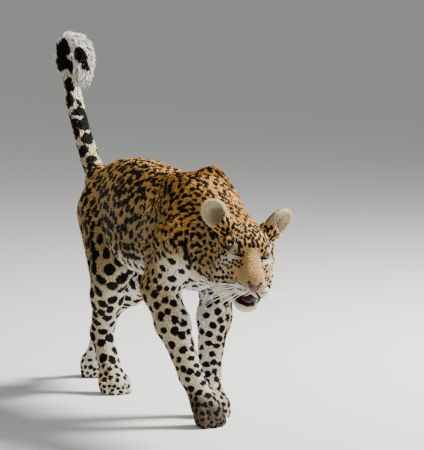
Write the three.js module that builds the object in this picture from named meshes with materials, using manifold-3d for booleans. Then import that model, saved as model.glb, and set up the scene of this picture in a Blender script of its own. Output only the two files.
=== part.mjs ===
// A walking leopard, life size, in millimetres.
// It faces -Y with its left side towards +X and +Z up. The origin is on the ground under the middle of its box.
// The right forefoot is just set down ahead of the left one, the left hind foot is about to leave the ground,
// the head is carried low and the tail is raised with its end curled over.
// The flesh is one smooth field of muscles and bones, meshed once and parted by thin cuts into named pieces.
import * as THREE from "three";
import { mergeVertices } from "three/addons/utils/BufferGeometryUtils.js";
import Module from "manifold-3d";

const wasm = await Module();
wasm.setup();

// Driving sizes, in millimetres
const CUT_GAP = 0.3; // left between two pieces that meet
const BODY_CELL = 36; // size of the facets on the body
const LIMB_CELL = 29;
const PAW_CELL = 17;
const HEAD_CELL = 16;
const EAR_CELL = 13;
const EYE_RADIUS = 15.5;
const TAIL_RADIUS = 26;

const v = (x, y, z) => new THREE.Vector3(x, y, z);
const mix = (a, b, t) => a.clone().lerp(b, t);

// Joints of the skeleton. Each leg lists its joints from the body down.
const LEGS = {
  right_fore: {
    blade: v(-52, -268, 590), shoulder: v(-88, -388, 470), elbow: v(-106, -306, 340),
    wrist: v(-57, -392, 128), knuckle: v(-30, -424, 52), toe: v(-12, -452, 11),
  },
  left_fore: {
    blade: v(50, -282, 612), shoulder: v(86, -372, 455), elbow: v(86, -222, 338),
    wrist: v(50, -250, 122), knuckle: v(42, -278, 44), toe: v(36, -314, 11),
  },
  right_hind: {
    hip: v(-39, 292, 500), knee: v(-78, 126, 345), hock: v(-60, 258, 158),
    knuckle: v(-55, 190, 44), toe: v(-54, 152, 10),
  },
  left_hind: {
    hip: v(39, 302, 498), knee: v(68, 256, 310), hock: v(42, 470, 196),
    knuckle: v(12, 508, 46), toe: v(4, 476, 9.5),
  },
};

// Head frame: origin midway between the eyes, turned from straight ahead by these angles in degrees
const HEAD = { origin: v(-5, -662, 466), yaw: 11.6, pitch: 5, roll: -8.5 };

// Trunk stations along Y: top, bottom, half width
const TRUNK = [
  { y: -440, top: 520, bottom: 410, half: 58 },
  { y: -370, top: 588, bottom: 365, half: 84 },
  { y: -280, top: 622, bottom: 342, half: 100 },
  { y: -180, top: 628, bottom: 338, half: 112 },
  { y: -60, top: 636, bottom: 336, half: 120 },
  { y: 60, top: 646, bottom: 344, half: 114 },
  { y: 160, top: 645, bottom: 366, half: 100 },
  { y: 260, top: 632, bottom: 398, half: 84 },
  { y: 350, top: 606, bottom: 434, half: 66 },
  { y: 430, top: 578, bottom: 480, half: 40 },
];

// Tail centreline from the root to the tip
const TAIL = [
  v(0, 420, 560), v(0, 490, 592), v(-2, 560, 668), v(-4, 622, 752), v(-6, 672, 836),
  v(-12, 698, 878), v(-6, 704, 910), v(8, 692, 928), v(22, 664, 920), v(24, 634, 894), v(17, 610, 864), v(8, 596, 840),
];

// Signed distance fields
function smoothMin(a, b, k) {
  const h = Math.max(k - Math.abs(a - b), 0) / k;
  return Math.min(a, b) - (h * h * k) / 4;
}
const smoothMax = (a, b, k) => -smoothMin(-a, -b, k);

function roundCone(a, b, ra, rb, k = 24) {
  const axis = b.clone().sub(a);
  const length2 = axis.lengthSq();
  const reach = Math.max(ra, rb);
  return {
    k,
    lo: v(Math.min(a.x, b.x), Math.min(a.y, b.y), Math.min(a.z, b.z)).subScalar(reach),
    hi: v(Math.max(a.x, b.x), Math.max(a.y, b.y), Math.max(a.z, b.z)).addScalar(reach),
    at(p) {
      const x = p.x - a.x, y = p.y - a.y, z = p.z - a.z;
      const t = Math.min(1, Math.max(0, (x * axis.x + y * axis.y + z * axis.z) / length2));
      const dx = x - axis.x * t, dy = y - axis.y * t, dz = z - axis.z * t;
      return Math.sqrt(dx * dx + dy * dy + dz * dz) - (ra + (rb - ra) * t);
    },
  };
}

// An ellipsoid whose own axes are those of a frame, a 4 by 4 matrix
function ellipsoid(frame, centre, radii, k = 20) {
  const inverse = frame.clone().multiply(new THREE.Matrix4().makeTranslation(centre)).invert();
  const m = inverse.elements;
  const middle = centre.clone().applyMatrix4(frame);
  const reach = Math.max(radii.x, radii.y, radii.z);
  return {
    k,
    lo: middle.clone().subScalar(reach),
    hi: middle.clone().addScalar(reach),
    at(p) {
      const x = (m[0] * p.x + m[4] * p.y + m[8] * p.z + m[12]) / radii.x;
      const y = (m[1] * p.x + m[5] * p.y + m[9] * p.z + m[13]) / radii.y;
      const z = (m[2] * p.x + m[6] * p.y + m[10] * p.z + m[14]) / radii.z;
      const k0 = Math.sqrt(x * x + y * y + z * z);
      const k1 = Math.sqrt((x / radii.x) ** 2 + (y / radii.y) ** 2 + (z / radii.z) ** 2);
      return k1 > 1e-9 ? (k0 * (k0 - 1)) / k1 : -Math.min(radii.x, radii.y, radii.z);
    },
  };
}

const BOX_MARGIN = 60; // past this distance from its box a shape no longer blends
function boxDistance(shape, p) {
  const x = Math.max(shape.lo.x - p.x, 0, p.x - shape.hi.x);
  const y = Math.max(shape.lo.y - p.y, 0, p.y - shape.hi.y);
  const z = Math.max(shape.lo.z - p.z, 0, p.z - shape.hi.z);
  return Math.sqrt(x * x + y * y + z * z);
}

function union(shapes) {
  return (p) => {
    let d = 1e3;
    for (const shape of shapes) {
      const far = boxDistance(shape, p);
      if (far > BOX_MARGIN) d = Math.min(d, far);
      else d = smoothMin(d, shape.at(p), shape.k);
    }
    return d;
  };
}

// Smooth curve through a table's rows, for one named column
function profile(rows, column) {
  const curve = new THREE.CatmullRomCurve3(rows.map((r) => v(r.y, r[column], 0)));
  const samples = curve.getPoints(80);
  return (y) => {
    let i = 1;
    while (i < samples.length - 1 && samples[i].x < y) i++;
    const a = samples[i - 1], b = samples[i];
    const t = Math.min(1, Math.max(0, (y - a.x) / (b.x - a.x)));
    return a.y + (b.y - a.y) * t;
  };
}

function trunkShape() {
  const top = profile(TRUNK, "top"), bottom = profile(TRUNK, "bottom"), half = profile(TRUNK, "half");
  const first = TRUNK[0].y, last = TRUNK[TRUNK.length - 1].y;
  const SQUARENESS = 2.25; // 2 is an ellipse
  return {
    k: 40,
    lo: v(-125, first - 40, 330),
    hi: v(125, last + 40, 660),
    at(p) {
      const y = Math.min(last, Math.max(first, p.y));
      const a = half(y), b = (top(y) - bottom(y)) / 2, middle = (top(y) + bottom(y)) / 2;
      // The back is narrower than the belly
      const up = (p.z - middle) / b;
      const width = a * (1 - 0.16 * Math.max(-1, Math.min(1, up)));
      const x = Math.abs(p.x) / width, z = Math.abs(up), over = Math.abs(p.y - y) / 45;
      const q = Math.pow(x ** SQUARENESS + z ** SQUARENESS + over ** SQUARENESS, 1 / SQUARENESS);
      return (q - 1) * Math.min(width, b) * 0.92;
    },
  };
}

// A paw: four toes side by side, the middle two ahead, and a pad behind them where the foot is planted
function paw(knuckle, toe, width, toeRadius, planted) {
  const forward = toe.clone().sub(knuckle).normalize();
  const level = v(forward.x, forward.y, 0).normalize();
  const side = v(0, 0, 1).cross(level);
  const shapes = [roundCone(knuckle, mix(knuckle, toe, 0.5), width * 0.36, width * 0.34, 16)];
  for (const [offset, ahead] of [[-0.37, -10], [-0.135, 0], [0.135, 0], [0.37, -10]]) {
    const root = knuckle.clone().addScaledVector(side, width * offset * 0.8).addScaledVector(forward, -4);
    const tip = toe.clone().addScaledVector(side, width * offset).addScaledVector(level, ahead);
    const knee = mix(root, tip, 0.62).add(v(0, 0, 9));
    shapes.push(roundCone(root, knee, toeRadius * 0.95, toeRadius, 9));
    shapes.push(roundCone(knee, tip, toeRadius, toeRadius * 0.9, 7));
  }
  if (planted) {
    const heel = mix(knuckle, toe, 0.12).setZ(19);
    shapes.push(roundCone(heel.clone().addScaledVector(side, -15), heel.clone().addScaledVector(side, 15), 23, 23, 14));
  }
  return shapes;
}

function foreleg(leg) {
  const { blade, shoulder, elbow, wrist, knuckle, toe } = leg;
  const point = elbow.clone().add(v(0, 34, 12));
  const back = mix(blade, shoulder, 0.35).add(v(0, 70, -40));
  return [
    roundCone(blade, shoulder, 34, 56, 44),
    roundCone(shoulder, elbow, 58, 44, 36),
    roundCone(back, mix(elbow, point, 0.7), 50, 33, 40),
    roundCone(elbow, point, 34, 20, 20),
    roundCone(elbow, mix(elbow, wrist, 0.4), 46, 44, 26),
    roundCone(mix(elbow, wrist, 0.4), wrist, 43, 30, 22),
    roundCone(wrist, knuckle, 28, 34, 18),
    ...paw(knuckle, toe, 92, 17, true),
  ];
}

function hindleg(leg) {
  const { hip, knee, hock, knuckle, toe } = leg;
  const side = Math.sign(hip.x);
  const seat = hip.clone().add(v(-side * 4, 70, -22));
  const heel = hock.clone().add(v(0, 26, 22));
  const calf = mix(knee, hock, 0.3).add(v(0, 26, -4));
  return [
    roundCone(hip, knee, 68, 50, 44),
    roundCone(seat, calf, 54, 38, 40),
    roundCone(mix(hip, knee, 0.4).add(v(0, -36, 0)), knee, 54, 44, 36),
    roundCone(knee, mix(knee, hock, 0.45), 48, 42, 26),
    roundCone(mix(knee, hock, 0.45), hock, 41, 30, 22),
    roundCone(calf, heel, 26, 15, 20),
    roundCone(hock, heel, 24, 16, 14),
    roundCone(hock, knuckle, 29, 31, 18),
    ...paw(knuckle, toe, 84, 15.5, hock.z < 180),
  ];
}

// The head's own frame: x to its left, y forward, z up
function headFrame() {
  const [yaw, pitch, roll] = [HEAD.yaw, HEAD.pitch, HEAD.roll].map(THREE.MathUtils.degToRad);
  const forward = v(-Math.sin(yaw) * Math.cos(pitch), -Math.cos(yaw) * Math.cos(pitch), -Math.sin(pitch));
  const level = v(Math.cos(yaw), -Math.sin(yaw), 0);
  const upright = forward.clone().cross(level);
  const left = level.clone().multiplyScalar(Math.cos(roll)).addScaledVector(upright, Math.sin(roll));
  const up = upright.clone().multiplyScalar(Math.cos(roll)).addScaledVector(level, -Math.sin(roll));
  return new THREE.Matrix4().makeBasis(left, forward, up).setPosition(HEAD.origin);
}
const headMatrix = headFrame();
const onHead = (x, y, z) => v(x, y, z).applyMatrix4(headMatrix);
const BOTH = [-1, 1];

function headShapes() {
  const e = (x, y, z, rx, ry, rz, k) => ellipsoid(headMatrix, v(x, y, z), v(rx, ry, rz), k);
  const c = (a, b, ra, rb, k) => roundCone(onHead(...a), onHead(...b), ra, rb, k);
  const shapes = [
    e(0, -62, 6, 60, 66, 50, 26), // cranium
    e(0, -22, 4, 44, 38, 31, 24), // forehead
    c([0, 6, -14], [1, 78, -54], 24, 21, 16), // bridge of the nose
    e(0, 42, -64, 36, 53, 30, 18), // upper jaw
    e(1, 88, -68, 17, 15, 15, 9), // nose
  ];
  for (const s of BOTH) {
    shapes.push(e(s * 42, -38, -30, 29, 48, 36, 22)); // cheek bone
    shapes.push(e(s * 42, -50, -76, 30, 44, 38, 22)); // cheek muscle
    shapes.push(c([s * 25, 2, 13], [s * 50, -24, 13], 10, 12, 14)); // brow
    shapes.push(e(s * 21, 70, -80, 22, 30, 21, 9)); // whisker pad
    shapes.push(e(s * 34, 6, -46, 21, 30, 23, 18)); // below the eye
  }
  return shapes;
}

function jawShapes() {
  const c = (a, b, ra, rb, k) => roundCone(onHead(...a), onHead(...b), ra, rb, k);
  const e = (x, y, z, rx, ry, rz, k) => ellipsoid(headMatrix, v(x, y, z), v(rx, ry, rz), k);
  const shapes = [e(-6, 66, -122, 20, 17, 14, 12), c([0, -20, -102], [-5, 60, -121], 30, 16, 18)];
  for (const s of BOTH) shapes.push(c([s * 38, -34, -90], [s * 15 - 5, 60, -118], 25, 13, 16));
  return shapes;
}

function neckShapes() {
  return [
    roundCone(v(0, -318, 548), onHead(0, -92, -6), 78, 58, 44),
    roundCone(v(0, -400, 462), onHead(0, -74, -62), 82, 62, 44),
    roundCone(v(0, -425, 430), onHead(0, -40, -84), 66, 44, 44),
  ];
}

const tailCurve = new THREE.CatmullRomCurve3(TAIL, false, "centripetal");
function tailShapes() {
  const count = 30;
  const points = tailCurve.getSpacedPoints(count);
  const radius = (t) => TAIL_RADIUS * (1 + 0.34 * Math.exp(-t * 14) - 0.05 * t + 0.1 * Math.exp(-((t - 0.85) ** 2) / 0.02));
  return points.slice(1).map((p, i) => roundCone(points[i], p, radius(i / count), radius((i + 1) / count), i ? 6 : 40));
}

const flesh = union([
  trunkShape(),
  roundCone(v(0, -395, 430), v(0, -300, 420), 62, 78, 40), // breast
  ...Object.entries(LEGS).flatMap(([name, leg]) => (name.endsWith("fore") ? foreleg(leg) : hindleg(leg))),
  ...neckShapes(),
  ...tailShapes(),
]);
const headOnly = union(headShapes());
const jawOnly = union(jawShapes());

// The mouth is a wedge between the jaws, open at the front
const mouthWedge = (() => {
  const inverse = headMatrix.clone().invert();
  const q = v(0, 0, 0);
  return (p) => {
    q.copy(p).applyMatrix4(inverse);
    const depth = THREE.MathUtils.clamp((q.y - 6) / 80, 0, 1);
    const middle = -99 - 10 * depth, half = 1.5 + 7.5 * depth;
    return Math.max(Math.abs(q.z - middle) - half, 10 - q.y, Math.abs(q.x + 3) - 31 + 8 * depth);
  };
})();

const body = (p) => {
  const head = smoothMin(headOnly(p), jawOnly(p), 12);
  return smoothMax(smoothMin(flesh(p), head, 26), -mouthWedge(p), 4);
};

// Moves a point onto the field's surface along the field's slope, by less than a cell
function settle(field, p, cell) {
  const q = v(0, 0, 0), slope = v(0, 0, 0), step = cell * 0.05;
  for (let turn = 0; turn < 3; turn++) {
    for (let axis = 0; axis < 3; axis++) {
      const ahead = field(q.copy(p).setComponent(axis, p.getComponent(axis) + step));
      const behind = field(q.copy(p).setComponent(axis, p.getComponent(axis) - step));
      slope.setComponent(axis, (ahead - behind) / (2 * step));
    }
    const steepness = Math.max(slope.lengthSq(), 0.25);
    const move = THREE.MathUtils.clamp(field(p) / steepness, -cell * 0.25, cell * 0.25);
    p.addScaledVector(slope, -move);
  }
}

// The six faces of a cell, each as its four corners in order. Corner bits are 1 for x, 2 for y and 4 for z.
const CELL_FACES = [[0, 2, 6, 4], [1, 3, 7, 5], [0, 1, 5, 4], [2, 3, 7, 6], [0, 1, 3, 2], [4, 5, 7, 6]];
const edgeKey = (a, b) => Math.min(a, b) * 8 + Math.abs(a - b);

// The sheets of surface in one cell, each as the list of cell edges that it crosses
function sheetsOf(inside) {
  const links = new Map();
  const link = (e, f) => {
    links.set(e, [...(links.get(e) ?? []), f]);
    links.set(f, [...(links.get(f) ?? []), e]);
  };
  for (const face of CELL_FACES) {
    const crossed = [0, 1, 2, 3].filter((i) => inside[face[i]] !== inside[face[(i + 1) % 4]]);
    const edge = (i) => edgeKey(face[i % 4], face[(i + 1) % 4]);
    if (crossed.length === 2) link(edge(crossed[0]), edge(crossed[1]));
    if (crossed.length === 4) for (let i = 0; i < 4; i++) if (inside[face[i]]) link(edge(i + 3), edge(i));
  }
  const sheets = [];
  const seen = new Set();
  for (const start of links.keys()) {
    if (seen.has(start)) continue;
    const sheet = [], queue = [start];
    while (queue.length) {
      const e = queue.pop();
      if (seen.has(e)) continue;
      seen.add(e);
      sheet.push(e);
      queue.push(...links.get(e));
    }
    sheets.push(sheet);
  }
  return sheets;
}

// Surface nets: one vertex for each sheet of surface in a cell, one quad for each crossed edge
function netSurface(field, lo, hi, cell) {
  const n = [0, 1, 2].map((i) => Math.ceil((hi.getComponent(i) - lo.getComponent(i)) / cell) + 1);
  const index = (i, j, k) => i + n[0] * (j + n[1] * k);
  const values = new Float32Array(n[0] * n[1] * n[2]);
  const p = v(0, 0, 0);
  for (let k = 0; k < n[2]; k++)
    for (let j = 0; j < n[1]; j++)
      for (let i = 0; i < n[0]; i++) {
        p.set(lo.x + i * cell, lo.y + j * cell, lo.z + k * cell);
        const edge = i === 0 || j === 0 || k === 0 || i === n[0] - 1 || j === n[1] - 1 || k === n[2] - 1;
        values[index(i, j, k)] = edge ? cell : field(p);
      }
  const positions = [], faces = [], vertexOf = new Map();
  for (let k = 0; k < n[2] - 1; k++)
    for (let j = 0; j < n[1] - 1; j++)
      for (let i = 0; i < n[0] - 1; i++) {
        const corners = Array.from({ length: 8 }, (_, c) => values[index(i + (c & 1), j + ((c >> 1) & 1), k + (c >> 2))]);
        for (const sheet of sheetsOf(corners.map((value) => value < 0))) {
          const sum = v(0, 0, 0);
          for (const e of sheet) {
            const a = e >> 3, bit = e & 7;
            const t = corners[a] / (corners[a] - corners[a + bit]);
            sum.add(v((a & 1) + (bit === 1 ? t : 0), ((a >> 1) & 1) + (bit === 2 ? t : 0), (a >> 2) + (bit === 4 ? t : 0)));
            vertexOf.set(index(i, j, k) * 64 + e, positions.length / 3);
          }
          p.set(i, j, k).addScaledVector(sum, 1 / sheet.length).multiplyScalar(cell).add(lo);
          const border = [i, j, k].some((c, axis) => c === 0 || c === n[axis] - 2);
          if (!border) settle(field, p, cell);
          positions.push(p.x, p.y, p.z);
        }
      }
  const stride = [1, n[0], n[0] * n[1]];
  for (let k = 0; k < n[2] - 1; k++)
    for (let j = 0; j < n[1] - 1; j++)
      for (let i = 0; i < n[0] - 1; i++)
        for (let axis = 0; axis < 3; axis++) {
          const here = index(i, j, k);
          const inside = values[here] < 0;
          if (inside === values[here + stride[axis]] < 0) continue;
          const s = (axis + 1) % 3, t = (axis + 2) % 3;
          const quad = [[0, 0], [1, 0], [1, 1], [0, 1]].map(([ds, dt]) => {
            const corner = ds * (1 << s) + dt * (1 << t);
            return vertexOf.get((here - ds * stride[s] - dt * stride[t]) * 64 + corner * 8 + (1 << axis));
          });
          if (!inside) quad.reverse();
          faces.push(quad[0], quad[1], quad[2], quad[0], quad[2], quad[3]);
        }
  return { positions: new Float32Array(positions), faces: new Uint32Array(faces) };
}

function solidFromField(field, lo, hi, cell) {
  const { positions, faces } = netSurface(field, lo, hi, cell);
  return new wasm.Manifold(new wasm.Mesh({ numProp: 3, vertProperties: positions, triVerts: faces }));
}

function solidFromGeometry(geometry) {
  geometry.deleteAttribute("normal");
  geometry.deleteAttribute("uv");
  const merged = mergeVertices(geometry, 1e-3);
  return new wasm.Manifold(
    new wasm.Mesh({
      numProp: 3,
      vertProperties: merged.attributes.position.array,
      triVerts: new Uint32Array(merged.index.array),
    }),
  );
}

function meshFromSolid(solid, name, material) {
  const made = solid.getMesh();
  const geometry = new THREE.BufferGeometry();
  geometry.setAttribute("position", new THREE.BufferAttribute(new Float32Array(made.vertProperties), made.numProp));
  geometry.setIndex(new THREE.BufferAttribute(new Uint32Array(made.triVerts), 1));
  geometry.computeVertexNormals();
  const mesh = new THREE.Mesh(geometry, material);
  mesh.name = name;
  return mesh;
}

// The half of space past a plane, as a box of a given reach whose near face lies on the plane
function halfSpace(point, normal, reach, depth, offset) {
  const box = new THREE.BoxGeometry(2 * reach, 2 * reach, depth);
  box.translate(0, 0, depth / 2 + offset);
  const z = normal.clone().normalize();
  box.applyQuaternion(new THREE.Quaternion().setFromUnitVectors(v(0, 0, 1), z));
  box.translate(point.x, point.y, point.z);
  return solidFromGeometry(box);
}

// Parts a solid by a plane into the piece past it and the rest, with the gap between them
function partBy(solid, cut) {
  const { point, normal, reach = 200, depth = 400 } = cut;
  return {
    past: solid.intersect(halfSpace(point, normal, reach, depth, CUT_GAP / 2)),
    rest: solid.subtract(halfSpace(point, normal, reach + CUT_GAP, depth + CUT_GAP, -CUT_GAP / 2)),
  };
}

const largest = (solid) => solid.decompose().sort((a, b) => b.volume() - a.volume())[0];
const away = (x, y, z) => onHead(x, y, z).sub(onHead(0, 0, 0)).normalize(); // a direction in the head's frame

// Planes that part the body, each with the piece on the side that its normal points to
const NECK_CUT = { point: v(0, -430, 500), normal: v(0, -0.94, -0.34), reach: 190 };
const HEAD_CUT = { point: onHead(0, -104, 30), normal: away(0, 0.94, 0.34), reach: 230, depth: 320 };
const JAW_CUT = { point: onHead(0, 40, -103), normal: away(0, -0.1, -1), reach: 170, depth: 120 };
const LEG_CUTS = {
  right_fore: { point: v(-100, -325, 326), normal: v(0, 0, -1), reach: 130, depth: 500 },
  left_fore: { point: v(100, -235, 326), normal: v(0, 0, -1), reach: 130, depth: 500 },
  right_hind: { point: v(-60, 230, 385), normal: v(-0.5, 0.3, -0.81), reach: 240, depth: 520 },
  left_hind: { point: v(55, 290, 385), normal: v(0.5, 0.3, -0.81), reach: 280, depth: 520 },
};
const tailCut = (t) => ({ point: tailCurve.getPointAt(t), normal: tailCurve.getTangentAt(t), reach: 450, depth: 500 });
const TAIL_SHARES = [0.1, 0.34, 0.56]; // where the tail's three lengths begin

const fur = new THREE.MeshStandardMaterial({ color: 0xc79a5b, roughness: 0.9, metalness: 0 });
const eyeMaterial = new THREE.MeshStandardMaterial({ color: 0x8a8f4a, roughness: 0.15, metalness: 0 });

const root = new THREE.Group();
const add = (solid, name, material = fur) => root.add(meshFromSolid(largest(solid), name, material));

// Eyes are balls in sockets that keep the cut's gap
const EYES = BOTH.map((s) => ({ name: s < 0 ? "right_eye" : "left_eye", centre: onHead(s * 40, -10, -4) }));
function ball(centre, radius) {
  const sphere = new THREE.SphereGeometry(radius, 12, 8);
  sphere.translate(centre.x, centre.y, centre.z);
  return solidFromGeometry(sphere);
}

// An ear is a cupped shell on a short base, tilted out, with its opening turned forward and outward by the twist
const EARS = {
  right_ear: { side: -1, centre: v(-89, -86, 71), tilt: 38, twist: 8 },
  left_ear: { side: 1, centre: v(79, -86, 71), tilt: 34, twist: 36 },
};
function earShell({ side, centre, tilt, twist }) {
  const frame = headMatrix.clone();
  frame.multiply(new THREE.Matrix4().makeTranslation(centre));
  frame.multiply(new THREE.Matrix4().makeRotationY(THREE.MathUtils.degToRad(side * tilt)));
  frame.multiply(new THREE.Matrix4().makeRotationZ(THREE.MathUtils.degToRad(-side * twist)));
  const outer = union([
    ellipsoid(frame, v(0, 0, 0), v(32, 20, 35), 12),
    roundCone(onHead(side * 46, -76, 34), v(0, 2, -17).applyMatrix4(frame), 25, 25, 12),
  ]);
  const middle = centre.clone().applyMatrix4(headMatrix);
  const inner = new THREE.SphereGeometry(1, 12, 8);
  inner.scale(26.5, 23, 29.5).translate(side * 3, 17, 2).applyMatrix4(frame);
  inner.index.array.reverse(); // the head's frame is left-handed, which would turn the faces inwards
  return solidFromField(outer, middle.clone().subScalar(80), middle.clone().addScalar(80), EAR_CELL).subtract(solidFromGeometry(inner));
}

function headPieces() {
  const lo = v(-190, -830, 290), hi = v(190, -500, 620);
  const grown = solidFromField((p) => body(p) - 2 * CUT_GAP, lo, hi, HEAD_CELL);
  let whole = partBy(solidFromField(body, lo, hi, HEAD_CELL), HEAD_CUT).past;
  for (const eye of EYES) whole = whole.subtract(ball(eye.centre, EYE_RADIUS + CUT_GAP));
  const { past: jaw, rest: skull } = partBy(whole, JAW_CUT);
  add(skull, "head");
  add(jaw, "lower_jaw");
  for (const eye of EYES) add(ball(eye.centre, EYE_RADIUS), eye.name, eyeMaterial);
  for (const [name, ear] of Object.entries(EARS)) {
    add(earShell(ear).subtract(grown), name);
  }
}

// The space that a leg's pieces are taken from: past its cut and, above the hocks, on its own side of the body
function legRegion(name, margin) {
  const { point, normal, reach, depth } = LEG_CUTS[name];
  const ownSide = halfSpace(v(0, point.y, point.z), v(Math.sign(point.x), 0, 0), 600, 600, -margin);
  const below = halfSpace(v(0, point.y, 180), v(0, 0, -1), 600, 400, 0);
  return halfSpace(point, normal, reach + margin, depth, -margin).intersect(ownSide.add(below));
}

function trunkPieces() {
  const lo = v(-190, -660, 250), hi = v(190, 520, 720);
  let torso = solidFromField(body, lo, hi, BODY_CELL);
  for (const name of Object.keys(LEG_CUTS)) torso = torso.subtract(legRegion(name, CUT_GAP / 2));
  torso = partBy(torso, tailCut(TAIL_SHARES[0])).rest;
  torso = partBy(torso, HEAD_CUT).rest;
  const { past: neck, rest: trunk } = partBy(torso, NECK_CUT);
  add(neck, "neck");
  add(trunk, "trunk");
}

function tailPieces() {
  const names = ["tail_base", "tail_middle", "tail_end"];
  let tail = solidFromField(body, v(-90, 380, 480), v(150, 790, 1010), LIMB_CELL);
  tail = largest(partBy(tail, tailCut(TAIL_SHARES[0])).past);
  names.forEach((name, i) => {
    if (i === names.length - 1) {
      add(tail, name);
      return;
    }
    const { past, rest } = partBy(tail, tailCut(TAIL_SHARES[i + 1]));
    add(rest, name);
    tail = largest(past);
  });
}

// A foreleg is parted from the body below its elbow, a hind leg at its groin and knee, and each above its paw
function legPieces(name) {
  const leg = LEGS[name];
  const fore = name.endsWith("fore");
  const [upper, middle, lower] = fore ? [leg.elbow, leg.wrist, leg.knuckle] : [leg.knee, leg.hock, leg.knuckle];
  const points = Object.values(leg);
  const lo = v(Math.min(...points.map((p) => p.x)) - 120, Math.min(...points.map((p) => p.y)) - 110, -12);
  const hi = v(Math.max(...points.map((p) => p.x)) + 120, Math.max(...points.map((p) => p.y)) + 130, 620);
  const limb = largest(solidFromField(body, lo, hi, LIMB_CELL).intersect(legRegion(name, -CUT_GAP / 2)));
  const kneeCut = { point: mix(upper, middle, 0.1), normal: middle.clone().sub(upper), reach: 150 };
  const pawCut = { point: mix(middle, lower, fore ? 0.35 : 0.55), normal: lower.clone().sub(middle), reach: 110 };
  const { past: below, rest: thigh } = fore ? { past: limb } : partBy(limb, kneeCut);
  const shin = partBy(largest(below), pawCut).rest;
  const pawLo = v(lower.x - 90, lower.y - 110, -30), pawHi = v(lower.x + 90, lower.y + 90, middle.z + 20);
  const foot = largest(partBy(solidFromField(body, pawLo, pawHi, PAW_CELL), pawCut).past);
  const floor = halfSpace(v(lower.x, lower.y, 0), v(0, 0, -1), 300, 100, 0);
  if (thigh) add(thigh, name + "_thigh");
  add(shin, name + (fore ? "_forearm" : "_shank"));
  add(foot.subtract(floor), name + "_paw");
}

headPieces();
trunkPieces();
tailPieces();
for (const name of Object.keys(LEGS)) legPieces(name);

const box = new THREE.Box3().setFromObject(root, true);
root.position.set(-(box.min.x + box.max.x) / 2, -(box.min.y + box.max.y) / 2, -box.min.z);

export default root;
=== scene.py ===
"""A walking leopard, life size. One skin over the whole animal, with a coat of tufts that lie along the body."""
from functools import partial
import math

import bmesh
import bpy
import numpy as np
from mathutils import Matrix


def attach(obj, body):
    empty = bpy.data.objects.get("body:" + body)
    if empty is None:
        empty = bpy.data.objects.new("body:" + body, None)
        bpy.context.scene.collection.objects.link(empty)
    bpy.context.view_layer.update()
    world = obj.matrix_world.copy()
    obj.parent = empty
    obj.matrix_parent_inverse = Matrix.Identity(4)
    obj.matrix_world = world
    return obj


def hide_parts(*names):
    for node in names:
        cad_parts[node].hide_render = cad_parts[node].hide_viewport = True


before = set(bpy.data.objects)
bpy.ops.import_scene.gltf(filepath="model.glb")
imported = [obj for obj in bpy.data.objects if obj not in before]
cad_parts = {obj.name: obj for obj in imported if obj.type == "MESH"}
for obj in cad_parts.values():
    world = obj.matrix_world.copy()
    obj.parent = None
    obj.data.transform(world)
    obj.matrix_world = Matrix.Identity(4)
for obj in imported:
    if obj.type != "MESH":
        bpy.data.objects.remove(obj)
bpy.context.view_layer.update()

import openvdb
from mathutils import Matrix, Vector, kdtree

bl_info = {
    "name": "Walking leopard",
    "version": (1, 0, 0),
    "blender": (4, 5, 0),
    "location": "View3D > Sidebar > Leopard",
    "description": "Skin, coat, eyes and whiskers of a walking leopard",
    "category": "Object",
}

MM = 0.001
BODY = "root"
FLESH = [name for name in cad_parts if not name.endswith("_eye")]
SEED = 7
SIDES = (-1, 1)  # the animal's right and left


def v3(*c):
    return np.array(c, dtype=float)


def mix(a, b, t):
    return a + (b - a) * t


def unit(a):
    return a / np.maximum(np.linalg.norm(a, axis=-1, keepdims=True), 1e-9)


def ramp(x, low, high):
    """0 at low, 1 at high, smooth between."""
    t = np.clip((x - low) / (high - low), 0.0, 1.0)
    return t * t * (3 - 2 * t)


# ---------------------------------------------------------------- the body's own measures, in millimetres
LEGS = {
    "right_fore": dict(blade=v3(-52, -268, 590), shoulder=v3(-88, -388, 470), elbow=v3(-106, -306, 340),
                       wrist=v3(-57, -392, 128), knuckle=v3(-30, -424, 52), toe=v3(-12, -452, 11)),
    "left_fore": dict(blade=v3(50, -282, 612), shoulder=v3(86, -372, 455), elbow=v3(86, -222, 338),
                      wrist=v3(50, -250, 122), knuckle=v3(42, -278, 44), toe=v3(36, -314, 11)),
    "right_hind": dict(hip=v3(-39, 292, 500), knee=v3(-78, 126, 345), hock=v3(-60, 258, 158),
                       knuckle=v3(-55, 190, 44), toe=v3(-54, 152, 10)),
    "left_hind": dict(hip=v3(39, 302, 498), knee=v3(68, 256, 310), hock=v3(42, 470, 196),
                      knuckle=v3(12, 508, 46), toe=v3(4, 476, 9.5)),
}
TRUNK = np.array([  # y, top, bottom, half width
    (-440, 520, 410, 58), (-370, 588, 365, 84), (-280, 622, 342, 100), (-180, 628, 338, 112), (-60, 636, 336, 120),
    (60, 646, 344, 114), (160, 645, 366, 100), (260, 632, 398, 84), (350, 606, 434, 66), (430, 578, 480, 40)], float)
TAIL = [v3(*p) for p in (
    (0, 420, 560), (0, 490, 592), (-2, 560, 668), (-4, 622, 752), (-6, 672, 836), (-12, 698, 878), (-6, 704, 910),
    (8, 692, 928), (22, 664, 920), (24, 634, 894), (17, 610, 864), (8, 596, 840))]
TAIL_RADIUS = 26.0
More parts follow.
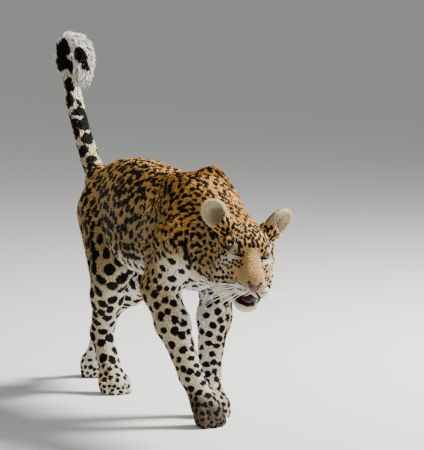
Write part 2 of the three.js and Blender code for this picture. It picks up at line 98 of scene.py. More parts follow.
TAIL_PATCHES = [  # from, to, and radius of each large black patch round the tail's end
    ((-26, 684, 924), (-20, 680, 908), 19), ((-34, 676, 884), (-28, 674, 868), 17),
    ((-12, 668, 886), (-8, 666, 872), 12),
    ((4, 622, 911), (8, 598, 886), 13), ((2, 657, 859), (4, 652, 846), 10), ((8, 582, 864), (22, 578, 860), 8),
    ((-22, 638, 822), (-18, 632, 806), 14), ((4, 628, 814), (6, 622, 800), 9), ((-30, 626, 774), (-26, 618, 760), 13),
    ((-2, 603, 774), (0, 598, 762), 9), ((16, 690, 880), (14, 680, 860), 12), ((-8, 732, 890), (-12, 724, 868), 18),
    ((14, 676, 800), (16, 664, 784), 12), ((-14, 690, 792), (-12, 680, 772), 13), ((4, 722, 936), (8, 712, 944), 11),
    ((36, 640, 870), (34, 650, 884), 9), ((-16, 606, 852), (-18, 622, 868), 8)]
EYE_RADIUS = 15.5
EYE_PLACE = v3(40, -10, -4)  # on the head; the right eye is its mirror
HEAD = dict(origin=v3(-5, -662, 466), yaw=11.6, pitch=5.0, roll=-8.5)
EARS = {  # side, place on the head, tilt and twist
    "right": (-1, v3(-89, -86, 71), (38.0, 8.0)),
    "left": (1, v3(79, -86, 71), (34.0, 36.0)),
}
EAR_REACH = 62.0  # past this distance from its middle nothing belongs to an ear
HEAD_REACH = 260.0  # past this distance from the head's origin its shapes no longer count
OFFSET = v3(2.705, 11.851, 0)  # the CAD's origin lies under the middle of its box


def head_axes():
    yaw, pitch, roll = (math.radians(HEAD[k]) for k in ("yaw", "pitch", "roll"))
    forward = v3(-math.sin(yaw) * math.cos(pitch), -math.cos(yaw) * math.cos(pitch), -math.sin(pitch))
    level = v3(math.cos(yaw), -math.sin(yaw), 0)
    upright = np.cross(forward, level)
    left = level * math.cos(roll) + upright * math.sin(roll)
    up = upright * math.cos(roll) - level * math.sin(roll)
    return np.array([left, forward, up])


AXES = head_axes()


def on_head(p):
    """Head measures (left, forward, up) to the body's."""
    return HEAD["origin"] + np.asarray(p, float) @ AXES


def in_head(p):
    return (p - HEAD["origin"]) @ AXES.T


def between(s, start, end, a, b):
    """a when s is at start, b when it is at end."""
    return (end - s) / (end - start) * a + (s - start) / (end - start) * b


def catmull_rom(points, alpha, per_span=24):
    """A smooth curve through the points; alpha 0 is uniform and 0.5 centripetal."""
    pts = [2 * points[0] - points[1]] + list(points) + [2 * points[-1] - points[-2]]
    out = []
    for i in range(len(points) - 1):
        p = pts[i:i + 4]
        t = [0.0]
        for a, b in zip(p, p[1:]):
            t.append(t[-1] + max(np.linalg.norm(b - a) ** alpha, 1e-6))
        for s in np.linspace(t[1], t[2], per_span, endpoint=False):
            a = [between(s, t[j], t[j + 1], p[j], p[j + 1]) for j in range(3)]
            b = [between(s, t[j], t[j + 2], a[j], a[j + 1]) for j in range(2)]
            out.append(between(s, t[1], t[2], b[0], b[1]))
    out.append(points[-1])
    return np.array(out)


def spaced(line, count):
    """The line cut into count equal steps."""
    reach = np.concatenate([[0], np.cumsum(np.linalg.norm(np.diff(line, axis=0), axis=1))])
    at = np.linspace(0, reach[-1], count + 1)
    return np.stack([np.interp(at, reach, line[:, i]) for i in range(3)], axis=1)


TAIL_LINE = spaced(catmull_rom(TAIL, 0.5), 30)


# ---------------------------------------------------------------- flesh as a field: distance to its surface
def smooth_min(a, b, k):
    h = np.maximum(k - np.abs(a - b), 0) / k
    return np.minimum(a, b) - h * h * k / 4


def smooth_max(a, b, k):
    return -smooth_min(-a, -b, k)


class Shape:
    """One rounded mass of flesh: its box, how softly it joins its neighbours, and its distance function."""

    def __init__(self, low, high, soft, at):
        self.low, self.high, self.soft, self.at = np.asarray(low), np.asarray(high), soft, at


def cone(a, b, ra, rb, soft=24.0):
    axis = b - a
    length2 = float(axis @ axis)
    reach = max(ra, rb)

    def at(x, y, z):
        x, y, z = x - a[0], y - a[1], z - a[2]
        t = np.clip((x * axis[0] + y * axis[1] + z * axis[2]) / length2, 0, 1)
        return np.sqrt((x - axis[0] * t) ** 2 + (y - axis[1] * t) ** 2 + (z - axis[2] * t) ** 2) - (ra + (rb - ra) * t)

    return Shape(np.minimum(a, b) - reach, np.maximum(a, b) + reach, soft, at)


def ellipsoid(axes, centre, radii, soft=20.0):
    """axes are the rows of its own frame, and centre is in the body's measures."""

    def at(x, y, z):
        x, y, z = x - centre[0], y - centre[1], z - centre[2]
        q = [(axes[i][0] * x + axes[i][1] * y + axes[i][2] * z) / radii[i] for i in range(3)]
        k0 = np.sqrt(q[0] ** 2 + q[1] ** 2 + q[2] ** 2)
        k1 = np.sqrt((q[0] / radii[0]) ** 2 + (q[1] / radii[1]) ** 2 + (q[2] / radii[2]) ** 2)
        return k0 * (k0 - 1) / np.maximum(k1, 1e-6)

    reach = max(radii)
    return Shape(centre - reach, centre + reach, soft, at)


def stroke(p, a, b, ra, rb=None):
    """Distance from points p to a round-ended stroke from a to b."""
    return cone(v3(*a), v3(*b), ra, ra if rb is None else rb).at(*p.T)


def trunk():
    def column(i):
        line = catmull_rom([np.array([r[0], r[i], 0.0]) for r in TRUNK], 0.5)
        return lambda y: np.interp(y, line[:, 0], line[:, 1])

    top, bottom, half = column(1), column(2), column(3)
    first, last = TRUNK[0][0], TRUNK[-1][0]
    squareness = 2.25  # 2 is an ellipse

    def at(x, y, z):
        yc = np.clip(y, first, last)
        a, b, middle = half(yc), (top(yc) - bottom(yc)) / 2, (top(yc) + bottom(yc)) / 2
        up = (z - middle) / b
        width = a * (1 - 0.16 * np.clip(up, -1, 1))
        q = (np.abs(x) / width) ** squareness + np.abs(up) ** squareness + (np.abs(y - yc) / 45) ** squareness
        return (q ** (1 / squareness) - 1) * np.minimum(width, b) * 0.92

    return Shape(v3(-125, first - 40, 330), v3(125, last + 40, 660), 40.0, at)


def paw(knuckle, toe, width, radius, planted):
    forward = unit(toe - knuckle)
    level = unit(v3(forward[0], forward[1], 0))
    side = np.cross(v3(0, 0, 1), level)
    shapes = [cone(knuckle, mix(knuckle, toe, 0.5), width * 0.36, width * 0.34, 16)]
    for offset, ahead in ((-0.37, -10), (-0.135, 0), (0.135, 0), (0.37, -10)):
        start = knuckle + side * width * offset * 0.8 - forward * 4
        tip = toe + side * width * offset + level * ahead
        knee = mix(start, tip, 0.62) + v3(0, 0, 9)
        shapes += [cone(start, knee, radius * 0.95, radius, 9), cone(knee, tip, radius, radius * 0.9, 7)]
    if planted:
        heel = mix(knuckle, toe, 0.12)
        heel[2] = 19
        shapes.append(cone(heel - side * 15, heel + side * 15, 23, 23, 14))
    return shapes


def foreleg(j):
    elbow, wrist, shoulder, blade = j["elbow"], j["wrist"], j["shoulder"], j["blade"]
    point = elbow + v3(0, 34, 12)
    back = mix(blade, shoulder, 0.35) + v3(0, 70, -40)
    return [
        cone(blade, shoulder, 34, 56, 44), cone(shoulder, elbow, 58, 44, 36),
        cone(back, mix(elbow, point, 0.7), 50, 33, 40), cone(elbow, point, 34, 20, 20),
        cone(elbow, mix(elbow, wrist, 0.4), 46, 44, 26), cone(mix(elbow, wrist, 0.4), wrist, 43, 30, 22),
        cone(wrist, j["knuckle"], 28, 34, 18), *paw(j["knuckle"], j["toe"], 92, 17, True)]


def hindleg(j):
    hip, knee, hock = j["hip"], j["knee"], j["hock"]
    seat = hip + v3(-np.sign(hip[0]) * 4, 70, -22)
    heel = hock + v3(0, 26, 22)
    calf = mix(knee, hock, 0.3) + v3(0, 26, -4)
    return [
        cone(hip, knee, 68, 50, 44), cone(seat, calf, 54, 38, 40),
        cone(mix(hip, knee, 0.4) + v3(0, -36, 0), knee, 54, 44, 36),
        cone(knee, mix(knee, hock, 0.45), 48, 42, 26), cone(mix(knee, hock, 0.45), hock, 41, 30, 22),
        cone(calf, heel, 26, 15, 20), cone(hock, heel, 24, 16, 14), cone(hock, j["knuckle"], 29, 31, 18),
        *paw(j["knuckle"], j["toe"], 84, 15.5, hock[2] < 180)]


def skull():
    e = lambda x, y, z, rx, ry, rz, k: ellipsoid(AXES, on_head((x, y, z)), (rx, ry, rz), k)
    c = lambda a, b, ra, rb, k: cone(on_head(a), on_head(b), ra, rb, k)
    shapes = [
        e(0, -62, 6, 60, 66, 50, 26), e(0, -22, 4, 44, 38, 31, 24), c((0, 6, -14), (1, 78, -54), 24, 21, 16),
        e(0, 42, -64, 36, 53, 30, 18), e(1, 88, -68, 17, 15, 15, 9)]
    for s in SIDES:
        shapes += [
            e(s * 42, -38, -30, 29, 48, 36, 22), e(s * 42, -50, -76, 30, 44, 38, 22),
            c((s * 25, 2, 13), (s * 50, -24, 13), 10, 12, 14), e(s * 21, 70, -80, 22, 30, 21, 9),
            e(s * 34, 6, -46, 21, 30, 23, 18)]
    return shapes


def lower_jaw():
    c = lambda a, b, ra, rb, k: cone(on_head(a), on_head(b), ra, rb, k)
    shapes = [ellipsoid(AXES, on_head((-6, 66, -122)), (20, 17, 14), 12), c((0, -20, -102), (-5, 60, -121), 30, 16, 18)]
    return shapes + [c((s * 38, -34, -90), (s * 15 - 5, 60, -118), 25, 13, 16) for s in SIDES]


def neck():
    return [cone(v3(0, -318, 548), on_head((0, -92, -6)), 78, 58, 44),
            cone(v3(0, -400, 462), on_head((0, -74, -62)), 82, 62, 44),
            cone(v3(0, -425, 430), on_head((0, -40, -84)), 66, 44, 44)]


def tail():
    count = len(TAIL_LINE) - 1

    def radius(t):
        """Wide at the root, slimmer along the tail, and fuller where the end curls over."""
        return TAIL_RADIUS * (1 + 0.34 * math.exp(-t * 14) - 0.05 * t + 0.1 * math.exp(-((t - 0.85) ** 2) / 0.02))

    return [cone(TAIL_LINE[i], TAIL_LINE[i + 1], radius(i / count), radius((i + 1) / count), 6 if i else 40)
            for i in range(count)]


GROUPS = {"trunk": [trunk(), cone(v3(0, -395, 430), v3(0, -300, 420), 62, 78, 40)]}
for leg_name, joints in LEGS.items():
    GROUPS[leg_name] = foreleg(joints) if leg_name.endswith("fore") else hindleg(joints)
GROUPS["neck"] = neck()
GROUPS["tail"] = tail()
FLESH_SHAPES = [s for shapes in GROUPS.values() for s in shapes]
SKULL_SHAPES, JAW_SHAPES = skull(), lower_jaw()
MARGIN = 60.0  # past this distance from its box a shape no longer counts


def field_of(shapes, p, start=400.0):
    """The joined distance of shapes at points p."""
    d = np.full(len(p), start)
    for s in shapes:
        near = np.all((p > s.low - MARGIN) & (p < s.high + MARGIN), axis=1)
        if near.any():
            q = p[near]
            d[near] = smooth_min(d[near], s.at(*q.T), s.soft)
    return d


def mouth(q):
    """The open wedge between the jaws, in head measures."""
    depth = np.clip((q[:, 1] - 6) / 80, 0, 1)
    middle, half = -99 - 10 * depth, 1.5 + 7.5 * depth
    return np.maximum.reduce([np.abs(q[:, 2] - middle) - half, 10 - q[:, 1], np.abs(q[:, 0] + 3) - 31 + 8 * depth])


def eye_frame(s):
    """Rows: outward along the lids, out of the socket, and up. Each eye looks ahead and a little outward."""
    out = unit(v3(s * 0.34, 1.0, -0.02))
    along = unit(v3(s * 1.0, -0.34, 0.30))
    along = unit(along - out * (along @ out))
    return np.array([along, out, np.cross(along, out) * (1 if s < 0 else -1)])


LID_LONG, LID_HIGH = 14.5, 3.5  # half sizes of the opening between the lids


def from_eye(q, s):
    """Places seen from one eye's middle: along the lids, out of the socket, up, and how far away."""
    rel = q - EYE_PLACE * v3(s, 1, 1)
    return (*(rel @ row for row in eye_frame(s)), np.linalg.norm(rel, axis=1))


def eye_distance(q, place=EYE_PLACE):
    """Distance to the nearer of two mirrored places, which are the eyes' own unless given."""
    return np.minimum(*(np.linalg.norm(q - place * v3(s, 1, 1), axis=1) for s in SIDES))


def lid_edge(a, u):
    """Distance to the edge of the opening between the lids."""
    return (np.sqrt((a / LID_LONG) ** 2 + ((u + 0.8) / LID_HIGH) ** 2) - 1) * LID_HIGH


def face_detail(d, q):
    """Lids, nostrils, lips and folds, on top of the flesh's distance d at head points q."""
    for s in SIDES:
        a, o, u, ball = from_eye(q, s)
        d = smooth_min(d, ball - (EYE_RADIUS + 2.6), 7)
        # the brow hangs over the upper lid
        brow = np.sqrt((a / 24) ** 2 + ((u - 15) / 6.5) ** 2 + ((o - 7) / 9) ** 2)
        d = smooth_min(d, (brow - 1) * 6.5, 8)
        hole = np.maximum(lid_edge(a, u), np.maximum(-o + 2, ball - 30))
        d = smooth_max(d, -hole, 1.6)
    groove = partial(stroke, q)
    for s in SIDES:
        d = smooth_max(d, -groove((1 + s * 7.5, 103, -69), (1 + s * 13, 97, -66), 3.0), 2)
        d = smooth_max(d, -groove((1 + s * 13, 98, -66), (1 + s * 17, 90, -71), 1.6), 2)
        d = smooth_max(d, -groove((s * 26, 62, -66), (s * 34, 34, -62), 2.0), 8)
    d = smooth_max(d, -groove((1, 106, -76), (0, 100, -97), 1.5), 3)
    return d


def skin_field(p, detailed=True):
    """Distance to the body's outline, with the face's own detail."""
    d = field_of(FLESH_SHAPES, p)
    q = in_head(p)
    near = np.linalg.norm(q, axis=1) < HEAD_REACH
    if near.any():
        pn, qn = p[near], q[near]
        head = smooth_min(field_of(SKULL_SHAPES, pn), field_of(JAW_SHAPES, pn), 12)
        d[near] = smooth_max(smooth_min(d[near], head, 26), -mouth(qn), 4)
        if detailed:
            close = np.linalg.norm(qn - v3(0, 30, -40), axis=1) < 130
            index = np.flatnonzero(near)[close]
            d[index] = face_detail(d[index], qn[close])
    return d


def slope(f, p, step=0.4):
    g = np.empty_like(p)
    for i in range(3):
        e = np.zeros(3)
        e[i] = step
        g[:, i] = (f(p + e) - f(p - e)) / (2 * step)
    return g


def coat_depth(p):
    """How far the skin lies under the coat's tips, in millimetres."""
    q = in_head(p)
    face = ramp(q[:, 1], -110, -20) * (np.linalg.norm(q, axis=1) < 200)
    depth = 5.5 - 3.7 * face
    low = ramp(p[:, 2], 330, 60)
    depth = np.where(np.linalg.norm(q, axis=1) < 200, depth, depth - 3.9 * low)
    on_tail = ramp(p[:, 1], 520, 600) * (p[:, 2] > 560)
    return depth + 2.5 * on_tail


def settle(p, f, turns=3, limit=2.0):
    for _ in range(turns):
        g = slope(f, p)
        steep = np.maximum((g * g).sum(1), 0.25)
        p = p - g * np.clip(f(p) / steep, -limit, limit)[:, None]
    return p


def lattice(axes):
    return np.stack(np.meshgrid(*axes, indexing="ij"), axis=-1).reshape(-1, 3)


def grid_part(axes, low, high):
    """The slices of a grid that lie in a box."""
    return tuple(slice(*np.searchsorted(axes[k], (low[k], high[k]))) for k in range(3))


def dense_field(shapes, axes):
    """field_of on a grid; each shape is worked out only where it counts."""
    d = np.full([len(a) for a in axes], 400.0, np.float32)
    for s in shapes:
        part = grid_part(axes, s.low - MARGIN, s.high + MARGIN)
        x, y, z = np.meshgrid(*(axes[k][part[k]] for k in range(3)), indexing="ij", sparse=True)
        d[part] = smooth_min(d[part], s.at(x, y, z), s.soft)
    return d


def body_grid(axes):
    """skin_field without the face's detail, on a grid."""
    head = smooth_min(dense_field(SKULL_SHAPES, axes), dense_field(JAW_SHAPES, axes), 12)
    d = smooth_min(dense_field(FLESH_SHAPES, axes), head, 26)
    part = grid_part(axes, HEAD["origin"] - HEAD_REACH, HEAD["origin"] + HEAD_REACH)
    hollow = mouth(in_head(lattice([axes[k][part[k]] for k in range(3)])))
    d[part] = smooth_max(d[part], -hollow.reshape(d[part].shape), 4)
    return d


def grid_surface(values_on, low, high, cell):
    """Quads on the zero surface of a field inside a box, all in millimetres."""
    axes = [low[i] + cell * np.arange(math.ceil((high[i] - low[i]) / cell) + 1) for i in range(3)]
    values = values_on(axes).astype(np.float32)
    grid = openvdb.FloatGrid(1e3)
    grid.copyFromArray(np.clip(values, -3 * cell, 3 * cell))
    points, quads = grid.convertToQuads(0.0)
    return points.astype(float) * cell + low, quads


def small_surface(f, middle, reach, cell):
    """grid_surface of a field of points, in a cube round its middle."""
    values_on = lambda axes: f(lattice(axes)).reshape([len(a) for a in axes])
    return grid_surface(values_on, middle - reach, middle + reach, cell)


# ---------------------------------------------------------------- the skin's mesh
def outward(points, faces):
    """Faces turned so that the shape they close has a positive volume."""
    a, b, c = points[faces[:, 0]], points[faces[:, 1]], points[faces[:, 2]]
    return faces[:, ::-1] if np.einsum("ij,ij->i", a, np.cross(b, c)).sum() < 0 else faces


def bmesh_of(points, faces):
    bm = bmesh.new()
    verts = [bm.verts.new(p) for p in points]
    for f in faces:
        bm.faces.new([verts[i] for i in f])
    return bm


def points_of(bm):
    return np.array([v.co[:] for v in bm.verts])


def refine(bm, chosen):
    """Splits every edge whose two ends are chosen."""
    pick = chosen(points_of(bm))
    bm.verts.index_update()
    edges = [e for e in bm.edges if pick[e.verts[0].index] and pick[e.verts[1].index]]
    bmesh.ops.subdivide_edges(bm, edges=edges, cuts=1, use_grid_fill=True)


def fine_parts(p):
    q = in_head(p)
    return ((np.linalg.norm(q - v3(0, 10, -50), axis=1) < 135) & (q[:, 1] > -75)) | (p[:, 2] < 62)


def finest_parts(p):
    q = in_head(p)
    eyes = eye_distance(q) < 27
    nose = np.linalg.norm(q - v3(1, 96, -72), axis=1) < 27
    lips = (np.abs(q[:, 2] + 105) < 15) & (q[:, 1] > 4) & (np.abs(q[:, 0]) < 45)
    return eyes | nose | (lips & (np.linalg.norm(q, axis=1) < 180))


def ear_axes(side, turns):
    t, w = (math.radians(side * a) for a in turns)
    tilted = np.array([(math.cos(t), 0, -math.sin(t)), (0, 1, 0), (math.sin(t), 0, math.cos(t))])
    return np.array([(math.cos(w), -math.sin(w), 0), (math.sin(w), math.cos(w), 0), (0, 0, 1)]) @ tilted @ AXES


def in_ear(p, name):
    """Body points in one ear's own measures: across, ahead and up."""
    side, centre, turns = EARS[name]
    return (p - on_head(centre)) @ ear_axes(side, turns).T


def ear_field(name):
    side, centre, turns = EARS[name]
    axes, middle = ear_axes(side, turns), on_head(centre)
    outer = [ellipsoid(axes, middle, (32, 20, 35), 12),
             cone(on_head((side * 46, -76, 34)), middle + v3(0, 2, -17) @ axes, 25, 25, 12)]
    inner = ellipsoid(axes, middle + v3(side * 3, 17, 2) @ axes, (27.0, 22.5, 30.0), 1)
    ridge = cone(middle + v3(side * -6, -6, -22) @ axes, middle + v3(side * -2, -9, 14) @ axes, 4.0, 2.0, 6)

    def f(p):
        shell = smooth_max(field_of(outer, p), -inner.at(*p.T), 2.5)
        return smooth_min(shell, ridge.at(*p.T), 6) + 1.0

    return f, middle


def make_object(name, points, faces, smooth=True):
    """A mesh object with its place in its mesh; points are in body millimetres."""
    mesh = bpy.data.meshes.new(name)
    mesh.from_pydata(((points + OFFSET) * MM).tolist(), [], np.asarray(faces).tolist())
    mesh.update()
    if smooth:
        mesh.shade_smooth()
    obj = bpy.data.objects.new(name, mesh)
    bpy.context.scene.collection.objects.link(obj)
    return obj


def body_points(mesh):
    co = np.empty(len(mesh.vertices) * 3, np.float32)
    mesh.vertices.foreach_get("co", co)
    return co.reshape(-1, 3).astype(float) / MM - OFFSET


def body_normals(mesh):
    n = np.empty(len(mesh.vertices) * 3, np.float32)
    mesh.vertex_normals.foreach_get("vector", n)
    return n.reshape(-1, 3).astype(float)


SKIN_BOX = v3(-185, -790, -20), v3(185, 760, 985)
SKIN_CELL, EAR_CELL, TONGUE_CELL = 6.0, 2.6, 2.5
FIRST_DEPTH = 4.0  # the grid's surface starts this deep, before it settles at the coat's depth
PAD_LEVEL = 0.4  # the pads lie flat on the ground


def build_skin():
    points, quads = grid_surface(lambda axes: body_grid(axes) + FIRST_DEPTH, *SKIN_BOX, SKIN_CELL)
    bm = bmesh_of(points, outward(points, quads))
    refine(bm, fine_parts)
    refine(bm, finest_parts)
    bmesh.ops.triangulate(bm, faces=bm.faces)
    p = settle(points_of(bm), lambda p: skin_field(p) + coat_depth(p))
    p[:, 2] = np.maximum(p[:, 2], PAD_LEVEL)
    for vert, co in zip(bm.verts, p):
        vert.co = co
    bmesh.ops.smooth_vert(bm, verts=bm.verts, factor=0.25, use_axis_x=True, use_axis_y=True, use_axis_z=True)
    p = points_of(bm)
    bm.verts.index_update()
    faces = np.array([[v.index for v in f.verts] for f in bm.faces])
    bm.free()
    skin = make_object("skin", p, faces)
    for name in EARS:
        f, middle = ear_field(name)
        points, quads = small_surface(f, middle, 75, EAR_CELL)
        points = settle(points, f, 2, 0.6)
        ear = make_object(f"{name}_ear_skin", points, outward(points, quads))
        join = skin.modifiers.new("ear", "BOOLEAN")
        join.operation, join.solver, join.object = "UNION", "MANIFOLD", ear
        bpy.context.view_layer.update()
        merged = bpy.data.meshes.new_from_object(skin.evaluated_get(bpy.context.evaluated_depsgraph_get()))
        skin.modifiers.clear()
        skin.data = merged
        bpy.data.objects.remove(ear)
    skin.data.name = "skin"
    skin.data.shade_smooth()
    return skin


# ---------------------------------------------------------------- where a point lies on the animal
LINES = []  # start, end, direction of the hair, radius


def line(a, b, r, direction=None):
    LINES.append((a, b, unit(b - a) if direction is None else unit(v3(*direction)), r))


line(v3(0, -360, 500), v3(0, 400, 520), 130, (0, 1, -0.16))
line(on_head((0, -90, -20)), v3(0, -350, 520), 80)
for leg_name, joints in LEGS.items():
    chain = list(joints.values())
    for a, b, r in zip(chain, chain[1:], (80, 55, 42, 30, 30)):
        line(a, b, r)
for a, b in zip(TAIL_LINE[::2], TAIL_LINE[2::2]):
    line(a, b, 27)


def segment_distance(p, a, b):
    ab = b - a
    t = np.clip(((p - a) @ ab) / (ab @ ab), 0, 1)
    return np.linalg.norm(p - a - t[:, None] * ab, axis=1), t


def hair_flow(p, n):
    """The direction that the hair lies in, along the surface."""
    flow = np.zeros_like(p)
    for a, b, direction, r in LINES:
        d, _ = segment_distance(p, a, b)
        flow += direction * ((d / r + 0.15) ** -6)[:, None]
    flow = unit(flow)
    q = in_head(p)
    away = unit((q - v3(0, 112, -62)) * v3(1, 1, 1.15)) @ AXES
    on_face = (ramp(q[:, 1], -130, -60) * (np.linalg.norm(q, axis=1) < 210))[:, None]
    flow = unit(flow * (1 - on_face) + away * on_face)
    flow = flow - n * (flow * n).sum(1, keepdims=True)
    return unit(flow)


def tail_share(p):
    """How far along the tail each point lies, 0 at the root and 1 at the tip."""
    best, share = np.full(len(p), 1e9), np.zeros(len(p))
    for i, (a, b) in enumerate(zip(TAIL_LINE, TAIL_LINE[1:])):
        d, t = segment_distance(p, a, b)
        nearer = d < best
        best[nearer], share[nearer] = d[nearer], (i + t[nearer]) / (len(TAIL_LINE) - 1)
    return share


REGIONS = ["head", "neck", "chest", "flank", "rump", "tail", *LEGS, "ear"]


def within(region, *names):
    """True where a point's region is one of the named ones."""
    return np.isin(region, [REGIONS.index(name) for name in names])


def region_of(p):
    """The index in REGIONS of the part that each point lies on."""
    q = in_head(p)
    out = np.full(len(p), REGIONS.index("flank"))
    out[p[:, 1] < -150] = REGIONS.index("chest")
    out[p[:, 1] > 190] = REGIONS.index("rump")
    trunk_d = field_of(GROUPS["trunk"], p)
    neck_d = field_of(GROUPS["neck"], p)
    out[(neck_d < trunk_d) & (p[:, 1] < -380) & (p[:, 2] > 330)] = REGIONS.index("neck")
    for name in LEGS:
        fore = name.endswith("fore")
        own = field_of(GROUPS[name], p)
        other = np.minimum.reduce([field_of(GROUPS[n], p) for n in LEGS if n != name])
        mine = (own < other) & (p[:, 2] < (345 if fore else 430)) & (own < trunk_d + (0 if fore else 12))
        out[mine & (p[:, 1] < 0 if fore else p[:, 1] > 0)] = REGIONS.index(name)
    out[(field_of(GROUPS["tail"], p) < trunk_d - 6) & (p[:, 1] > 440)] = REGIONS.index("tail")
    out[(q[:, 1] > -95) & (np.linalg.norm(q, axis=1) < 190) & (q[:, 2] > -150)] = REGIONS.index("head")
    off_skull = field_of(SKULL_SHAPES, p) > 1
    for name in EARS:
        out[off_skull & (np.linalg.norm(in_ear(p, name) / v3(36, 30, 44), axis=1) < 1.05)] = REGIONS.index("ear")
    return out


# ---------------------------------------------------------------- markings
def tone(hex_value):
    """An sRGB hex colour as linear numbers."""
    c = np.array([int(hex_value[i:i + 2], 16) / 255 for i in (1, 3, 5)])
    return np.where(c <= 0.04045, c / 12.92, ((c + 0.055) / 1.055) ** 2.4)


# the first two are lit and shaded copies of the coat's own gold: painted sunlight on top, painted shade on the sides
SUNLIT_GOLD, SHADED_TAN, CREAM, WHITE = tone("#D9A352"), tone("#AE9164"), tone("#EBDDBE"), tone("#F8F4EA")
# the first is the neck's and shoulders' gold as painted sunlight; the third is the forehead's gold, partly lightened as
# painted sunlight
SUNLIT_SHOULDER_GOLD, CHEEK, SUNLIT_BROW, BRIDGE = tone("#D79B48"), tone("#CDA970"), tone("#E2AC5E"), tone("#C69F66")
EAR_RIM, EAR_IN, EAR_SHADE = tone("#DDBB84"), tone("#D8C5A2"), tone("#54402C")
# the last is painted shade on the low right forepaw
BARE_NOSE, LIP, BLACK, PAINTED_PAW_SHADE = tone("#623C33"), tone("#1B1412"), tone("#15100C"), tone("#46331F")


def ground_colour(p, n, region):
    """The coat's colour between the spots, with painted sunlight on the back, shoulders and forehead and painted shade
    on the flanks and the right forepaw.
    """
    q = in_head(p)
    is_in = partial(within, region)
    colour = np.tile(SHADED_TAN, (len(p), 1))

    def lay(what, amount):
        nonlocal colour
        colour = colour + (what - colour) * np.clip(amount, 0, 1)[:, None]

    body = is_in("chest", "flank", "rump", "neck")
    # painted sunlight: the coat turns a lighter, warmer gold where it faces up, and keeps the darker, greyer tan of
    # painted shade on the sides
    lay(SUNLIT_GOLD, ramp(n[:, 2], 0.05, 0.75))
    # painted sunlight on the neck and chest where they face up and towards the lit left side
    lay(SUNLIT_SHOULDER_GOLD, is_in("neck", "chest") * ramp(n[:, 2] + 0.3 * n[:, 0], 0.1, 0.7))
    lay(CREAM, body * ramp(-n[:, 2], 0.1, 0.65))
    lay(WHITE, body * ramp(-n[:, 2], 0.5, 0.9))
    legs = is_in(*LEGS)
    side = np.where(is_in("right_fore", "right_hind"), -1.0, 1.0)
    inner, front = -n[:, 0] * side, -n[:, 1]
    low = ramp(-p[:, 2], -np.where(p[:, 1] > 0, 450, 380), -250)
    lay(CREAM, legs * np.maximum(low, ramp(inner, 0.0, 0.6)) * (0.6 + 0.4 * ramp(inner + 0.7 * front, -0.35, 0.4)))
    lay(WHITE, legs * ramp(inner + 0.4 * front, 0.25, 0.9) * 0.8)
    share = tail_share(p)
    tails = is_in("tail")
    lay(CREAM, tails * (0.55 + 0.45 * ramp(share, 0.1, 0.4)))
    lay(WHITE, tails * np.maximum(ramp(share, 0.5, 0.72), ramp(-n[:, 2] - n[:, 1], 0.1, 0.9)))

    # painted shade over the low right forepaw, darkest on its right side, away from the light
    paw_shade_mask = is_in("right_fore") * ramp(-p[:, 2] - 0.35 * (p[:, 0] + 40), -98, -52)
    lay(PAINTED_PAW_SHADE, paw_shade_mask * 0.86)

    heads = is_in("head")
    x, y, z = q[:, 0], q[:, 1], q[:, 2]
    near = lambda cx, cy, cz, r, soft: 1 - ramp(np.linalg.norm(q - v3(cx, cy, cz), axis=1), r - soft, r + soft)
    lay(CHEEK, heads)
    # the forehead's own gold, laid lighter and warmer than the cheeks, partly as painted sunlight on the top of the
    # head
    lay(SUNLIT_BROW, heads * ramp(z, -20, 20) * (1 - ramp(y, 0, 40)))
    lay(BRIDGE, heads * (1 - ramp(np.abs(x - 0.5), 15, 24)) * ramp(y, 12, 26) * ramp(z + 0.62 * y, -30, -18))
    for s in SIDES:
        lay(WHITE, heads * near(s * 42, 0, -25, 17, 9) * 0.85)
        lay(WHITE, heads * near(s * 58, -20, -26, 13, 7) * 0.75)
        lay(WHITE, heads * near(s * 37, 2, 13, 8, 6) * 0.45)
        lay(WHITE, heads * near(s * 50, -8, 12, 7, 6) * 0.45)
        lay(WHITE, heads * near(s * 24, 72, -86, 26, 7) * ramp(-z, 58, 72))
        lay(CREAM, heads * near(s * 50, -18, -66, 36, 22) * 0.5)
    lay(WHITE, heads * ramp(-z, 100, 118) * ramp(y, -70, 20))
    lay(CREAM, heads * ramp(-z, 88, 112))
    lay(WHITE, is_in("neck", "chest") * near(0, -70, -150, 70, 40))
    ears = is_in("ear")
    for name, (s, _, turns) in EARS.items():
        rel = in_ear(p, name)
        this = ears * (np.linalg.norm(rel, axis=1) < EAR_REACH)
        facing = n @ ear_axes(s, turns)[1]
        lay(EAR_RIM, this)
        lay(EAR_IN, this * ramp(facing, 0.1, 0.5))
        streak = 0.65 + 0.35 * np.sin(np.arctan2(rel[:, 0], rel[:, 2] + 30) * 30)
        hollow = 1 - ramp(np.linalg.norm(rel[:, ::2] - np.array([s * -6.0, -12.0]), axis=1), 12, 30)
        lay(EAR_SHADE, this * streak * ramp(facing, -0.05, 0.3) * hollow * 0.85)
        lay(BLACK, this * ramp(-facing, 0.15, 0.4) * (1 - ramp(rel[:, 2], 24, 34)) * (1 - near_ear_spot(rel, s)))
        lay(CREAM, this * ramp(-facing, 0.2, 0.5) * near_ear_spot(rel, s) * 0.75)
    lay(BARE_NOSE, heads * bare_nose(q))
    return colour


def near_ear_spot(rel, s):
    """1 in the pale spot on the back of an ear."""
    return 1 - ramp(np.linalg.norm(rel[:, [0, 2]] - np.array([s * 4.0, 8.0]), axis=1), 6, 14)


def bare_nose(q):
    """1 on the nose leather."""
    x, y, z = q[:, 0] - 1, q[:, 1], q[:, 2]
    width = 16.5 - 0.6 * np.clip(-68 - z, 0, 30)
    return (1 - ramp(np.abs(x), width - 1.5, width)) * ramp(y, 88, 91) * (1 - ramp(z, -64, -61)) * ramp(z, -87, -83)


WHISKER_ROWS = [  # the broken dark lines that the whiskers grow from
    ((15, 99, -73), (31, 88, -68), (41, 55, -67), (50, 5, -73)),
    ((20, 99, -81), (43, 71, -80), (50, 36, -80), (53, 2, -83)),
    ((14, 93, -90), (36, 62, -92), (46, 34, -90), (52, 6, -92))]


